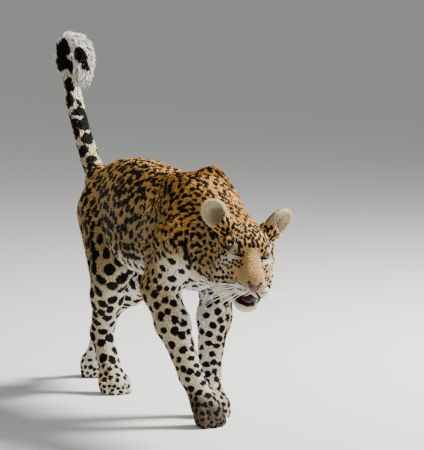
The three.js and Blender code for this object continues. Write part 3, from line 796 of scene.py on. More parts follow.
def face_strokes():
    """The face's own black lines, with painted shade beside the nose, from and to in head measures and with a radius at
    each end, laid on the skin.
    """
    rows = [
        ((-17, 96, -61), (20, 95, -59), 3.0, 3.0),  # over the nose leather
        ((0, 104, -76), (0, 92, -94), 2.0, 2.0),  # down to the lips
        ((-21, 74, -112), (-6, 84, -113), 4.6, 4.6), ((-6, 84, -113), (9, 74, -112), 4.6, 4.6)]  # the lower lip
    for s in SIDES:
        rows += [
            # from the eye's inner corner down beside the nose (the black tear line, drawn long as painted shade beside
            # the nose), up over the brow, and back from the outer corner
            ((s * 27, 8, -9), (s * 22, 36, -30), 4.6, 3.0), ((s * 22, 36, -30), (s * 24, 52, -42), 2.6, 1.4),
            ((s * 27, 5, -2), (s * 29, 0, 13), 3.2, 2.2), ((s * 29, 0, 13), (s * 37, -8, 22), 2.2, 2.6),
            ((s * 57, -16, -2), (s * 70, -46, -2), 3.4, 2.6), ((s * 56, -12, -14), (s * 68, -46, -36), 2.6, 2.8),
            # along the upper and the lower lip
            ((1 + s * 3, 100, -84), (1 + s * 24, 88, -101), 2.2, 3.4),
            ((1 + s * 24, 88, -101), (s * 36, 38, -100), 3.6, 5.0),
            ((s * 36, 38, -100), (s * 42, 4, -98), 6.5, 6.0), ((-6 + s * 15, 74, -112), (s * 32, 32, -108), 5.2, 6.0)]
        for row in WHISKER_ROWS:
            path = catmull_rom([v3(s * a, b, c) for a, b, c in row], 0.5, 5)
            rows += [(path[i], path[i + 1], 1.5 + 0.06 * i, 1.6 + 0.06 * i)
                     for i in range(len(path) - 1) if i % 4 != 3]
    ends = np.array([(a, b) for a, b, _, _ in rows], float).reshape(-1, 3)
    ends = in_head(settle(on_head(ends), lambda p: skin_field(p, False), 6, 5.0)).reshape(-1, 2, 3)
    return [(a, b, ra, rb) for (a, b), (_, _, ra, rb) in zip(ends, rows)]


STROKES = []


def face_marks(q):
    """Distance to the face's own black lines, in millimetres, with painted shade under the brows and beside the nose.
    """
    if not STROKES:
        STROKES.extend(face_strokes())
    d = mouth(q) - 1.5
    for s in SIDES:
        a, o, u, ball = from_eye(q, s)
        # the upper rim is wider than the lower: partly the black lid, partly painted shade under the brow
        rim = np.abs(lid_edge(a, u)) - np.where(u > 0, 4.8, 2.6)
        d = np.minimum(d, np.where((o > 0) & (ball < 32), rim, 40))
    return np.minimum.reduce([d] + [stroke(q, *row) - 0.6 for row in STROKES])


def nostrils(q):
    return np.minimum(*(stroke(q, (1 + s * 7.5, 105, -71), (1 + s * 16, 94, -67), 4.2, 3.4) for s in SIDES))


COLLAR = [  # from, to and radius
    ((-100, -456, 471), (-95, -457, 441), 8.0), ((-95, -457, 441), (-84, -456, 412), 8.5),
    ((-84, -456, 412), (-69, -486, 392), 7.0)]


def collar_marks(p):
    """Distance to the dark band at the side of the throat, with an uneven edge."""
    return np.minimum.reduce([stroke(p, *row) for row in COLLAR]) + 1.5 * np.sin(p[:, 2] * 0.4 + p[:, 0] * 0.5)


def tail_marks(p):
    """Distance to the large black patches round the tail's end, with ragged edges."""
    ragged = 1.6 * np.sin(p[:, 0] * 0.31 + p[:, 2] * 0.23) + 1.4 * np.sin(p[:, 1] * 0.37 - p[:, 2] * 0.29)
    return np.minimum.reduce([stroke(p, a, b, r * 1.22) for a, b, r in TAIL_PATCHES]) + ragged


def spot_plan(p, n, region):
    """For candidate points, in millimetres: spacing, blob radii along and across the hair, and ring radii;
    last, how many blobs make the ring."""
    count = len(p)
    q = in_head(p)
    is_in = partial(within, region)
    spacing, along, across = np.full(count, 23.5), np.full(count, 6.6), np.full(count, 5.9)
    ring_u, ring_w, blobs = np.full(count, 7.2), np.full(count, 6.0), np.full(count, 4)

    def put(where, s, a, c, ru=0.0, rw=0.0, b=1):
        spacing[where], along[where], across[where] = s, a, c
        ring_u[where], ring_w[where], blobs[where] = ru, rw, b

    put(is_in("rump") & (p[:, 2] < 560), 26.5, 6.9, 6.3, 8.2, 7.0, 4)
    put(is_in("chest"), 17.0, 7.6, 6.3)
    put(is_in("neck"), 13.6, 6.2, 4.8)
    put(is_in("flank", "rump", "chest") & (np.abs(p[:, 0]) < 26) & (n[:, 2] > 0.8), 17.8, 8.8, 6.0)
    put(is_in("flank", "rump", "chest", "neck") & (n[:, 2] < -0.45), 32, 11, 9.5)
    hind, fore = (is_in(*(name for name in LEGS if name.endswith(end))) for end in ("hind", "fore"))
    put(hind & (p[:, 2] >= 250), 33.5, 15.2, 13.4)
    put(hind & (p[:, 2] < 250), 26.5, 11.4, 11.2)
    put(fore & (p[:, 2] >= 200), 21.5, 9.4, 8.0)
    put(fore & (p[:, 2] < 200), 19.5, 7.0, 8.4)
    put((hind | fore) & (p[:, 2] < 80), 15.5, 6.0, 6.2)
    put((hind | fore) & (p[:, 2] < 30), 11, 3.6, 4.0)
    put(is_in("tail"), 28, 17.0, 13.5)
    heads = is_in("head")
    # the bridge of the nose, the muzzle, the chin and the tail's end have none, or marks of their own
    bald = heads & ((np.abs(q[:, 0]) < 21) & (q[:, 1] > 15) | (q[:, 1] > 34) | (q[:, 2] < -92))
    bald |= is_in("tail") & (tail_share(p) > 0.41)
    eye = eye_distance(q, v3(40, 2, -6))
    put(heads, 12.6, 4.7, 4.0)
    put(heads & (q[:, 1] > -70) & (q[:, 2] > 4), 10.0, 4.8, 3.4)
    put(heads & (eye < 46) & (q[:, 2] < 4), 8.4, 2.8, 2.2)
    spacing[bald | (heads & (eye < 23)) | is_in("ear")] = 0
    return spacing, along, across, ring_u, ring_w, blobs


CANDIDATES = 60000
WIDEST = 34.0  # no two spots keep a greater distance than this


def apart(p, spacing):
    """The points that are kept when each is passed over if it lies too near one that is kept already."""
    taken, kept = {}, []
    keys = np.floor(p / WIDEST).astype(int)
    around = [(i, j, k) for i in (-1, 0, 1) for j in (-1, 0, 1) for k in (-1, 0, 1)]

    def clear(i, j):
        gap = p[i] - p[j]
        return gap[0] ** 2 + gap[1] ** 2 + gap[2] ** 2 >= (0.5 * (spacing[i] + spacing[j])) ** 2

    for i in np.flatnonzero(spacing > 0):
        x, y, z = keys[i]
        near = (j for dx, dy, dz in around for j in taken.get((x + dx, y + dy, z + dz), ()))
        if all(clear(i, j) for j in near):
            taken.setdefault((x, y, z), []).append(i)
            kept.append(i)
    return np.array(kept)


class Spots:
    """Every spot's place, frame and blobs, and the distance from a point to the nearest blob."""

    def __init__(self, p, n):
        rng = np.random.default_rng(SEED)
        order = rng.permutation(len(p))[:CANDIDATES]
        p, n = p[order], n[order]
        plan = spot_plan(p, n, region_of(p))
        kept = apart(p, plan[0])
        self.place, normal = p[kept], n[kept]
        _, along, across, ring_u, ring_w, blobs = (a[kept] for a in plan)
        flow = hair_flow(self.place, normal)
        self.flow, self.side = flow, np.cross(normal, flow)
        count, most = len(kept), 5
        vary = lambda low, high: rng.uniform(low, high, (count, most))
        turn = rng.uniform(0, 2 * math.pi, (count, 1))
        turn = turn + np.arange(most) * 2 * math.pi / np.maximum(blobs, 1)[:, None] + vary(-0.3, 0.3)
        single = (blobs == 1)[:, None]
        self.u = np.where(single, 0, ring_u[:, None] * np.cos(turn)) * vary(0.85, 1.15)
        self.w = np.where(single, 0, ring_w[:, None] * np.sin(turn)) * vary(0.85, 1.15)
        self.ru = along[:, None] * vary(0.78, 1.2)
        self.rw = across[:, None] * vary(0.8, 1.2)
        self.used = np.arange(most)[None, :] < blobs[:, None]
        self.ring = np.where(blobs > 2, np.minimum(ring_u, ring_w), 0.0)
        self.tree = kdtree.KDTree(count)
        for i, c in enumerate(self.place):
            self.tree.insert(c, i)
        self.tree.balance()

    def distance(self, p):
        """(distance to black, share of a rosette's darker middle) at points p."""
        near = 4
        rough = 1.3 - 1.0 * (np.linalg.norm(in_head(p), axis=1, keepdims=True) < 170)
        p = p + rough * np.sin(np.roll(p, 1, axis=1) * 0.44 + np.roll(p, 2, axis=1) * 0.37)  # uneven edges
        found = np.array([[hit[1] for hit in self.tree.find_n(c, near)] for c in p])
        black, middle = np.full(len(p), 30.0), np.zeros(len(p))
        for k in range(near):
            i = found[:, k]
            rel = p - self.place[i]
            u, w = (rel * self.flow[i]).sum(1), (rel * self.side[i]).sum(1)
            lift = np.sqrt(np.maximum((rel * rel).sum(1) - u * u - w * w, 0))
            for b in range(self.u.shape[1]):
                ru, rw = self.ru[i, b], self.rw[i, b]
                d = (np.sqrt(((u - self.u[i, b]) / ru) ** 2 + ((w - self.w[i, b]) / rw) ** 2) - 1) * np.minimum(ru, rw)
                d = np.where(self.used[i, b], d + 0.4 * np.maximum(lift - 8, 0), 30.0)
                black = np.minimum(black, d)
            ring = self.ring[i]
            inside = 1 - ramp(np.sqrt(u * u + w * w), ring * 0.6, ring * 1.5 + 0.01)
            middle = np.maximum(middle, np.where(ring > 0, inside, 0))
        return black, middle


ROSETTE_SHADE = np.array([0.72, 0.62, 0.5])  # what is left of red, green and blue inside a rosette


def coat_values(p, n, region, spots):
    """(colour between spots, distance to black) for points on the skin."""
    ground = ground_colour(p, n, region)
    black, middle = spots.distance(p)
    ground = ground * (1 - middle[:, None] * (1 - ROSETTE_SHADE))
    q = in_head(p)
    black -= 1.2  # a lock's own straight edges would narrow the spots by as much
    black = np.minimum(black, collar_marks(p))
    heads, tails = within(region, "head"), within(region, "tail")
    black[heads] = np.minimum(black[heads], face_marks(q[heads]))
    black[tails] = np.minimum(black[tails], tail_marks(p[tails]))
    black = np.where(bare_nose(q) > 0.5, nostrils(q), black)
    return ground, black


def store(mesh, name, kind, values):
    attribute = mesh.attributes.new(name, kind, "POINT")
    if kind == "FLOAT_COLOR":
        values = np.concatenate([values, np.ones((len(values), 1))], axis=1)
        attribute.data.foreach_set("color", values.astype(np.float32).ravel())
    else:
        attribute.data.foreach_set("value", values.astype(np.float32))


# ---------------------------------------------------------------- the coat
BARE_LIP = 3.5  # how far the skin is bare round the mouth's opening
FOOT_HEIGHT = 60.0  # below this a leg has the short hair of the foot


def pads(p, n):
    """True on the undersides of the feet."""
    return (n[:, 2] < -0.6) & (p[:, 2] < 10)


def hairless(p, n):
    """True where skin shows: nose leather, lips and mouth, the rims of the lids, and the pads."""
    q = in_head(p)
    bare = (bare_nose(q) > 0.3) | (mouth(q) < BARE_LIP)
    for s in SIDES:
        a, o, u, ball = from_eye(q, s)
        bare |= (o > -2) & (lid_edge(a, u) < 1.8) & (ball < 30)
    return bare | pads(p, n)


def coat_plan(p, n, region, spacing_only=False):
    """Per root: spacing, length, width and how high the tip stands, in millimetres."""
    q = in_head(p)
    is_in = partial(within, region)
    on_leg = is_in(*LEGS)
    feet = on_leg & (p[:, 2] < FOOT_HEIGHT)
    leg = ramp(p[:, 2], 420, 120) * on_leg
    face = is_in("head") * ramp(q[:, 1], -90, 0)
    spacing = mix(mix(4.4, 3.5, leg), 2.7, face)
    spacing = np.where(is_in("ear"), 2.6, spacing)
    spacing = np.where(feet, 3.0, spacing)
    if spacing_only:
        return spacing
    tall = coat_depth(p)
    length = mix(mix(12.0, 8.0, leg), 6.0, face)
    width = mix(mix(4.0, 3.3, leg), 2.3, face)
    under = is_in("flank", "rump", "chest") * ramp(-n[:, 2], 0.35, 0.85)
    length += 9 * under
    tall += 2.5 * under
    throat = is_in("neck", "chest") * ramp(-n[:, 1] - n[:, 2], 0.3, 1.0)
    length += 6 * throat
    length = np.where(is_in("neck"), length + 3, length)
    cheek = is_in("head") * ramp(np.abs(q[:, 0]), 48, 70) * ramp(-q[:, 2], 20, 60)
    length += 9 * cheek
    tall += 1.5 * cheek
    nose = np.linalg.norm(q - v3(0, 96, -70), axis=1)
    short = is_in("head") * (1 - ramp(nose, 20, 70))
    length = mix(length, 3.6, short)
    lid = 1 - ramp(eye_distance(q), 18, 34)
    length, tall, width = mix(length, 3.0, lid), mix(tall, 1.0, lid), mix(width, 1.5, lid)
    ears = is_in("ear")
    cup = np.zeros(len(p))
    for name, (s, _, turns) in EARS.items():
        rel = in_ear(p, name)
        facing = (np.linalg.norm(rel, axis=1) < EAR_REACH) * ramp(n @ ear_axes(s, turns)[1], 0.1, 0.6)
        cup = np.maximum(cup, facing * (1 - ramp(np.linalg.norm(rel[:, ::2], axis=1), 16, 28)))
    length = np.where(ears, 6.0 + 8 * cup, length)
    tall = np.where(ears, 1.6 + 3 * cup, tall)
    width = np.where(ears, 2.4 - 0.6 * cup, width)
    tails = is_in("tail")
    share = tail_share(p)
    length = np.where(tails, 17 + 17 * ramp(share, 0.5, 0.95), length)
    tall = tall + tails * 7 * ramp(share, 0.6, 0.9) * np.abs(n[:, 0])
    length, width = np.where(feet, 6.0, length), np.where(feet, 2.7, width)
    tall = np.minimum(tall, np.where(feet, 1.5, 99.0))
    return spacing, length, width, tall


PIECES = {  # coat piece: regions, spine to unwrap round
    "coat_head": (("head", "ear"), [on_head((0, -130, -20)), on_head((0, 100, -60))]),
    "coat_neck": (("neck",), [v3(0, -350, 530), on_head((0, -90, -20))]),
    "coat_chest": (("chest",), [v3(0, -140, 490), v3(0, -420, 460)]),
    "coat_flank": (("flank",), [v3(0, -160, 490), v3(0, 200, 500)]),
    "coat_rump": (("rump",), [v3(0, 180, 500), v3(0, 430, 530)]),
    "coat_tail": (("tail",), list(TAIL_LINE)),
}
for leg_name, joints in LEGS.items():
    PIECES[f"coat_{leg_name}"] = ((leg_name,), list(joints.values())[1 if leg_name.endswith("fore") else 0:])


SHEET_EDGE, SHEET_SPAN = 0.006, 0.985  # keep every tuft's patch inside the sheet


def unwrap(p, spine):
    """Places on a sheet rolled off the body round a spine: (turn, distance along), both 0 to 1."""
    best, turn, along = np.full(len(p), 1e9), np.zeros(len(p)), np.zeros(len(p))
    done = 0.0
    for i, (a, b) in enumerate(zip(spine, spine[1:])):
        direction = unit(b - a)
        aside = unit(np.cross(direction, v3(0.3, 0.2, 1) if abs(direction[2]) < 0.9 else v3(1, 0.1, 0)))
        d, _ = segment_distance(p, a, b)
        rel = p - a
        beyond = rel @ direction
        out = rel - beyond[:, None] * direction
        radius = np.linalg.norm(out, axis=1)
        length = np.linalg.norm(b - a)
        cap = np.where((i == 0) & (beyond < 0), radius.max() - radius, 0) * -0.7
        cap = np.where((i == len(spine) - 2) & (beyond > length), (radius.max() - radius) * 0.7, cap)
        near = d < best
        angle = np.arctan2(out @ np.cross(direction, aside), out @ aside)
        best[near], turn[near], along[near] = d[near], angle[near], (done + beyond + cap)[near]
        done += length
    along = (along - along.min()) / max(along.max() - along.min(), 1e-6)
    return SHEET_EDGE + SHEET_SPAN * (turn / (2 * math.pi) + 0.5), SHEET_EDGE + SHEET_SPAN * along


def scatter(mesh, rng):
    """Roots spread evenly over the skin, with the skin's normals there."""
    p, n = body_points(mesh), body_normals(mesh)
    mesh.calc_loop_triangles()
    tri = np.empty(len(mesh.loop_triangles) * 3, np.int32)
    mesh.loop_triangles.foreach_get("vertices", tri)
    tri = tri.reshape(-1, 3)
    a, b, c = p[tri[:, 0]], p[tri[:, 1]], p[tri[:, 2]]
    area = np.linalg.norm(np.cross(b - a, c - a), axis=1) / 2
    middle, normal = (a + b + c) / 3, unit(n[tri].sum(1))
    region = region_of(middle)
    spacing = coat_plan(middle, normal, region, spacing_only=True)
    weight = area / spacing ** 2 * ~hairless(middle, normal)
    # nearby triangles follow each other, so that even steps through the running total spread the roots evenly
    order = np.lexsort((np.floor(middle[:, 2] / 12), np.floor(middle[:, 1] / 12), np.floor(middle[:, 0] / 12)))
    total = np.cumsum(weight[order])
    count = int(total[-1])
    at = (np.arange(count) + rng.random(count)) * total[-1] / count
    hit = order[np.minimum(np.searchsorted(total, at), len(order) - 1)]
    r1, r2 = np.sqrt(rng.random(count)), rng.random(count)
    share = np.stack([1 - r1, r1 * (1 - r2), r1 * r2], axis=1)[:, :, None]
    return (p[tri[hit]] * share).sum(1), unit((n[tri[hit]] * share).sum(1)), region[hit]


# the seven points of a lock: three at its root, three half way and its tip
LOCK_RING = (0, 0, 0, 1, 1, 1, 2)
LOCK_FACES = np.array([
    (0, 2, 1), (0, 1, 4), (0, 4, 3), (1, 2, 5), (1, 5, 4), (2, 0, 3), (2, 3, 5), (3, 4, 6), (4, 5, 6), (5, 3, 6)])
LOCK_PLACE = np.array([(0, 0), (1, 0), (0.5, 0), (0, 0.5), (1, 0.5), (0.5, 0.5), (0.5, 1)])  # across and along it
LOCK_PATCH = np.array([  # on the unwrapped sheet, from the place of its root
    (-0.0013, -0.0015), (0.0013, -0.0015), (0, -0.0015), (-0.0012, 0), (0.0012, 0), (0, 0), (0, 0.0015)])


def build_coat(skin, spots):
    """Closed tufts, each a three-sided lock, in one mesh per part of the body."""
    rng = np.random.default_rng(SEED + 1)
    root, normal, region = scatter(skin.data, rng)
    keep = ~hairless(root, normal)
    root, normal, region = root[keep], normal[keep], region[keep]
    flow = hair_flow(root, normal)
    _, length, width, tall = coat_plan(root, normal, region)
    count = len(root)
    vary = lambda low, high: rng.uniform(low, high, count)
    # each lock wanders a little from the general direction, and neighbours wander together
    wave = np.sin(root[:, 0] * 0.11 + root[:, 2] * 0.07) + np.sin(root[:, 1] * 0.09 - root[:, 2] * 0.12)
    swing = (0.05 * wave + vary(-0.18, 0.18))[:, None]
    side = np.cross(normal, flow)
    flow = unit(flow * np.cos(swing) + side * np.sin(swing))
    side = np.cross(normal, flow)
    length = (length * vary(0.75, 1.15))[:, None]
    width = (width * vary(0.8, 1.2))[:, None]
    tall = (tall * vary(0.72, 1.0))[:, None]
    thick = width * 0.3
    foot = root - normal * 0.7
    middle = root + flow * length * 0.48 + normal * (tall * 0.66 - thick * 0.4)
    tip = root + flow * length * 0.96 + normal * tall * 0.92
    sag = np.where(within(region, "flank", "chest"), 1.0, 0.0)[:, None] * v3(0, 0, -1.2)
    tip = tip + sag * np.maximum(-normal[:, 2:3], 0)
    rings = [foot - side * width * 0.5, foot + side * width * 0.5, foot + normal * thick,
             middle - side * width * 0.46, middle + side * width * 0.46, middle + normal * thick, tip]
    co = np.stack(rings, axis=1)
    co[:, :, 2] = np.maximum(co[:, :, 2], 0.2)
    # the markings are taken where a lock is seen, so that they keep their shape over long hair
    jitter = rng.uniform(-0.8, 0.8, count)
    shades = [coat_values(root + flow * length * f, normal, region, spots) for f in (0.0, 0.48, 0.9)]
    ground = np.stack([shades[i][0] for i in LOCK_RING], axis=1)
    black = np.stack([shades[i][1] + jitter for i in LOCK_RING], axis=1)
    made = []
    for name, (regions, spine) in PIECES.items():
        own = np.flatnonzero(within(region, *regions))
        faces = (LOCK_FACES[None] + len(LOCK_RING) * np.arange(len(own))[:, None, None]).reshape(-1, 3)
        obj = make_object(name, co[own].reshape(-1, 3), faces)
        mesh = obj.data
        store(mesh, "ground", "FLOAT_COLOR", ground[own].reshape(-1, 3))
        store(mesh, "spot", "FLOAT", black[own].ravel())
        store(mesh, "across", "FLOAT", np.tile(LOCK_PLACE[:, 0], len(own)))
        store(mesh, "along", "FLOAT", np.tile(LOCK_PLACE[:, 1], len(own)))
        store(mesh, "lock", "FLOAT", np.repeat(rng.random(len(own)), len(LOCK_RING)))
        u, v = unwrap(root[own], spine)
        uv = (np.stack([u, v], axis=1)[:, None, :] + LOCK_PATCH[None]).reshape(-1, 2)
        layer = mesh.uv_layers.new(name="OFBake")
        layer.data.foreach_set("uv", uv[faces.ravel()].astype(np.float32).ravel())
        mesh.materials.append(material("coat_hair", hair_material))
        made.append(obj)
    return made


# ---------------------------------------------------------------- materials
def linear(hex_value):
    """sRGB hex to the linear RGBA that sockets take."""
    return (*tone(hex_value), 1.0)


def node(tree, kind, inputs=(), **settings):
    """A node with its settings and inputs; an input is a value or the socket that feeds it."""
    made = tree.nodes.new(kind)
    for key, value in settings.items():
        setattr(made, key, value)
    for key, value in dict(inputs).items():
        if isinstance(value, bpy.types.NodeSocket):
            tree.links.new(value, made.inputs[key])
        else:
            made.inputs[key].default_value = value
    return made


def material(name, fill):
    if name in bpy.data.materials:
        return bpy.data.materials[name]
    made = bpy.data.materials.new(name)
    made.use_nodes = True
    made.node_tree.nodes.clear()
    fill(made.node_tree)
    return made


def finish_surface(tree, inputs):
    """The material's one shader, with these inputs."""
    shader = node(tree, "ShaderNodeBsdfPrincipled", inputs)
    node(tree, "ShaderNodeOutputMaterial", {"Surface": shader.outputs[0]})


def attribute(tree, name, output="Fac"):
    return node(tree, "ShaderNodeAttribute", attribute_name=name).outputs[output]


def ranged(tree, value, low, high, to_low=0.0, to_high=1.0, **settings):
    """value, carried from low and high to to_low and to_high."""
    ends = {"From Min": low, "From Max": high, "To Min": to_low, "To Max": to_high}
    return node(tree, "ShaderNodeMapRange", {"Value": value, **ends}, **settings).outputs[0]


def mixed(tree, share, a, b):
    """Colour a where share is 0, and b where it is 1."""
    return node(tree, "ShaderNodeMix", {0: share, 6: a, 7: b}, data_type="RGBA").outputs[2]


def times(tree, a, b):
    return node(tree, "ShaderNodeMath", {0: a, 1: b}, operation="MULTIPLY").outputs[0]


def scaled(tree, vector, amount):
    return node(tree, "ShaderNodeVectorMath", {0: vector, "Scale": amount}, operation="SCALE").outputs[0]


def bump(tree, height, strength, distance):
    return node(tree, "ShaderNodeBump", {"Height": height, "Strength": strength, "Distance": distance}).outputs[0]


def object_place(tree):
    return node(tree, "ShaderNodeTexCoord").outputs["Object"]


def spotted(tree, edge):
    """The stored ground colour, with black where the stored distance to a spot is below zero."""
    share = ranged(tree, attribute(tree, "spot"), -edge, edge, 1.0, 0.0, interpolation_type="SMOOTHSTEP")
    return mixed(tree, share, attribute(tree, "ground", "Color"), (*BLACK, 1.0))


def hair_material(tree):
    """Guard hair. The stored colours give gold, white and black; streaks along each lock read as single hairs."""
    across, along, lock = (attribute(tree, name) for name in ("across", "along", "lock"))
    place = node(tree, "ShaderNodeCombineXYZ", {"X": across, "Y": along, "Z": lock}).outputs[0]
    spread = node(tree, "ShaderNodeVectorMath", {0: place, 1: (6.0, 0.8, 90.0)}, operation="MULTIPLY").outputs[0]
    noise = node(tree, "ShaderNodeTexNoise", {"Vector": spread, "Scale": 1.0, "Detail": 2.0, "Roughness": 0.6})
    streak = noise.outputs["Fac"]
    shade = ranged(tree, streak, 0.3, 0.7, 0.74, 1.16)
    # painted shade: each lock darkens towards its root, where the locks over it shade it
    depth = ranged(tree, along, 0.0, 0.7, 0.72, 1.0)
    own = ranged(tree, lock, 0.0, 1.0, 0.9, 1.1)
    finish_surface(tree, {
        "Base Color": scaled(tree, spotted(tree, 0.7), times(tree, times(tree, shade, depth), own)),
        "Roughness": 0.68, "Specular IOR Level": 0.1, "Normal": bump(tree, streak, 0.5, 0.0006)})


def skin_material(tree):
    """Skin under the coat, in the coat's own colours darkened as painted shade under the tufts; leather with fine
    pebbling where no hair grows.
    """
    bare, place = attribute(tree, "bare"), object_place(tree)
    pebble = node(tree, "ShaderNodeTexVoronoi", {"Vector": place, "Scale": 900.0}, feature="SMOOTH_F1")
    down = node(tree, "ShaderNodeTexNoise", {"Vector": place, "Scale": 420.0, "Detail": 3.0})
    height = node(tree, "ShaderNodeMix", {0: bare, 2: down.outputs["Fac"], 3: pebble.outputs["Distance"]}).outputs[0]
    finish_surface(tree, {
        # painted shade: where hair grows the skin's colour is darkened to 0.62 under the coat
        "Base Color": scaled(tree, spotted(tree, 1.0), ranged(tree, bare, 0.0, 1.0, 0.62, 1.0)),
        "Roughness": ranged(tree, bare, 0.0, 1.0, 0.75, 0.42),
        "Specular IOR Level": ranged(tree, bare, 0.0, 1.0, 0.1, 0.4),
        "Normal": bump(tree, height, 0.5, 0.0008)})


def eye_material(tree):
    """Wet cornea over a greenish gold iris with a round pupil; past the iris the ball turns dark."""
    gaze, turn = attribute(tree, "gaze"), attribute(tree, "turn")
    place = node(tree, "ShaderNodeCombineXYZ", {"X": turn, "Y": gaze}).outputs[0]
    fibre = node(tree, "ShaderNodeTexNoise", {"Vector": place, "Scale": 1.0, "Detail": 3.0}).outputs["Fac"]
    rim, pupil = (ranged(tree, gaze, *ends, interpolation_type="SMOOTHSTEP") for ends in ((11.0, 13.0), (3.4, 3.9)))
    iris = mixed(tree, fibre, linear("#6C5C2C"), linear("#A98F4A"))
    finish_surface(tree, {
        "Base Color": mixed(tree, pupil, linear("#050404"), mixed(tree, rim, iris, linear("#171009"))),
        "Roughness": 0.07, "Specular IOR Level": 0.6, "Coat Weight": 0.6, "Coat Roughness": 0.03})


def whisker_material(tree):
    """Stiff white whisker hair, smooth and a little shiny."""
    finish_surface(tree, {"Base Color": linear("#F3EFE6"), "Roughness": 0.35})


def mouth_material(tree):
    """Wet pink flesh of the tongue, darkened as painted shade inside the mouth, finely rough."""
    grain = node(tree, "ShaderNodeTexVoronoi", {"Vector": object_place(tree), "Scale": 700.0}).outputs["Distance"]
    # the tongue's pink is darkened as painted shade of the mouth's inside
    finish_surface(tree, {"Base Color": linear("#653637"), "Roughness": 0.35, "Normal": bump(tree, grain, 0.4, 0.0005)})


def floor_material(tree):
    """Plain pale studio floor, matt."""
    finish_surface(tree, {"Base Color": linear("#D9D7D2"), "Roughness": 0.9})


# ---------------------------------------------------------------- eyes, whiskers, tongue
def build_eye(name, s):
    """A ball with a slight cornea, and each point's distance from the middle of the pupil."""
    radius = EYE_RADIUS
    gaze = unit(v3(s * 0.10, 1.0, 0.02)) @ AXES
    aside = unit(np.cross(gaze, v3(0, 0, 1)))
    up = np.cross(aside, gaze)
    rings, around = 40, 48
    polar = np.linspace(0, math.pi, rings + 1)[1:-1]
    turn = np.arange(around) * 2 * math.pi / around
    swell = lambda a: radius + 1.1 * math.exp(-(a / 0.55) ** 4)
    points, facts = [gaze * swell(0)], [(0.0, 0.0)]
    for a in polar:
        r = swell(a)
        for t in turn:
            points.append(r * (gaze * math.cos(a) + (aside * math.cos(t) + up * math.sin(t)) * math.sin(a)))
            facts.append((radius * a, t))
    points.append(-gaze * radius)
    facts.append((radius * math.pi, 0.0))
    faces = [(0, 1 + i, 1 + (i + 1) % around) for i in range(around)]
    for ring in range(rings - 2):
        first = 1 + ring * around
        for i in range(around):
            j = (i + 1) % around
            faces += [(first + i, first + around + i, first + around + j), (first + i, first + around + j, first + j)]
    last = 1 + (rings - 2) * around
    faces += [(last + i, len(points) - 1, last + (i + 1) % around) for i in range(around)]
    points = np.array(points)
    facts = np.array(facts)
    obj = make_object(name, points + on_head(EYE_PLACE * v3(s, 1, 1)), outward(points, np.array(faces)))
    store(obj.data, "gaze", "FLOAT", facts[:, 0])
    store(obj.data, "turn", "FLOAT", np.abs(facts[:, 1] - math.pi) * 14)
    obj.data.materials.append(material("eye_glass", eye_material))
    return obj


def whisker_roots():
    """Roots, aims and lengths of the long hairs on the muzzle and over the eyes, in head measures."""
    rng = np.random.default_rng(SEED + 2)
    rows = []
    for s in SIDES:
        for row, (height, count) in enumerate(((-74, 4), (-81, 5), (-88, 5), (-94, 3))):
            for i in range(count):
                t = (i + 0.6) / count
                place = v3(s * (20 + 25 * t), 93 - 33 * t * t - 4 * t, height - 2 * t)
                aim = unit(v3(s * (0.75 + 0.25 * t), 0.45 - 0.75 * t, -0.10 - 0.16 * row + rng.uniform(-0.1, 0.1)))
                rows.append((place, aim, rng.uniform(70, 112) * (0.62 + 0.38 * t)))
        for i in range(3):
            aim = unit(v3(s * (0.2 + 0.22 * i), 0.35, 1.0))
            rows.append((v3(s * (32 + 5 * i), 6 - 3 * i, 20), aim, rng.uniform(32, 46)))
    return rows


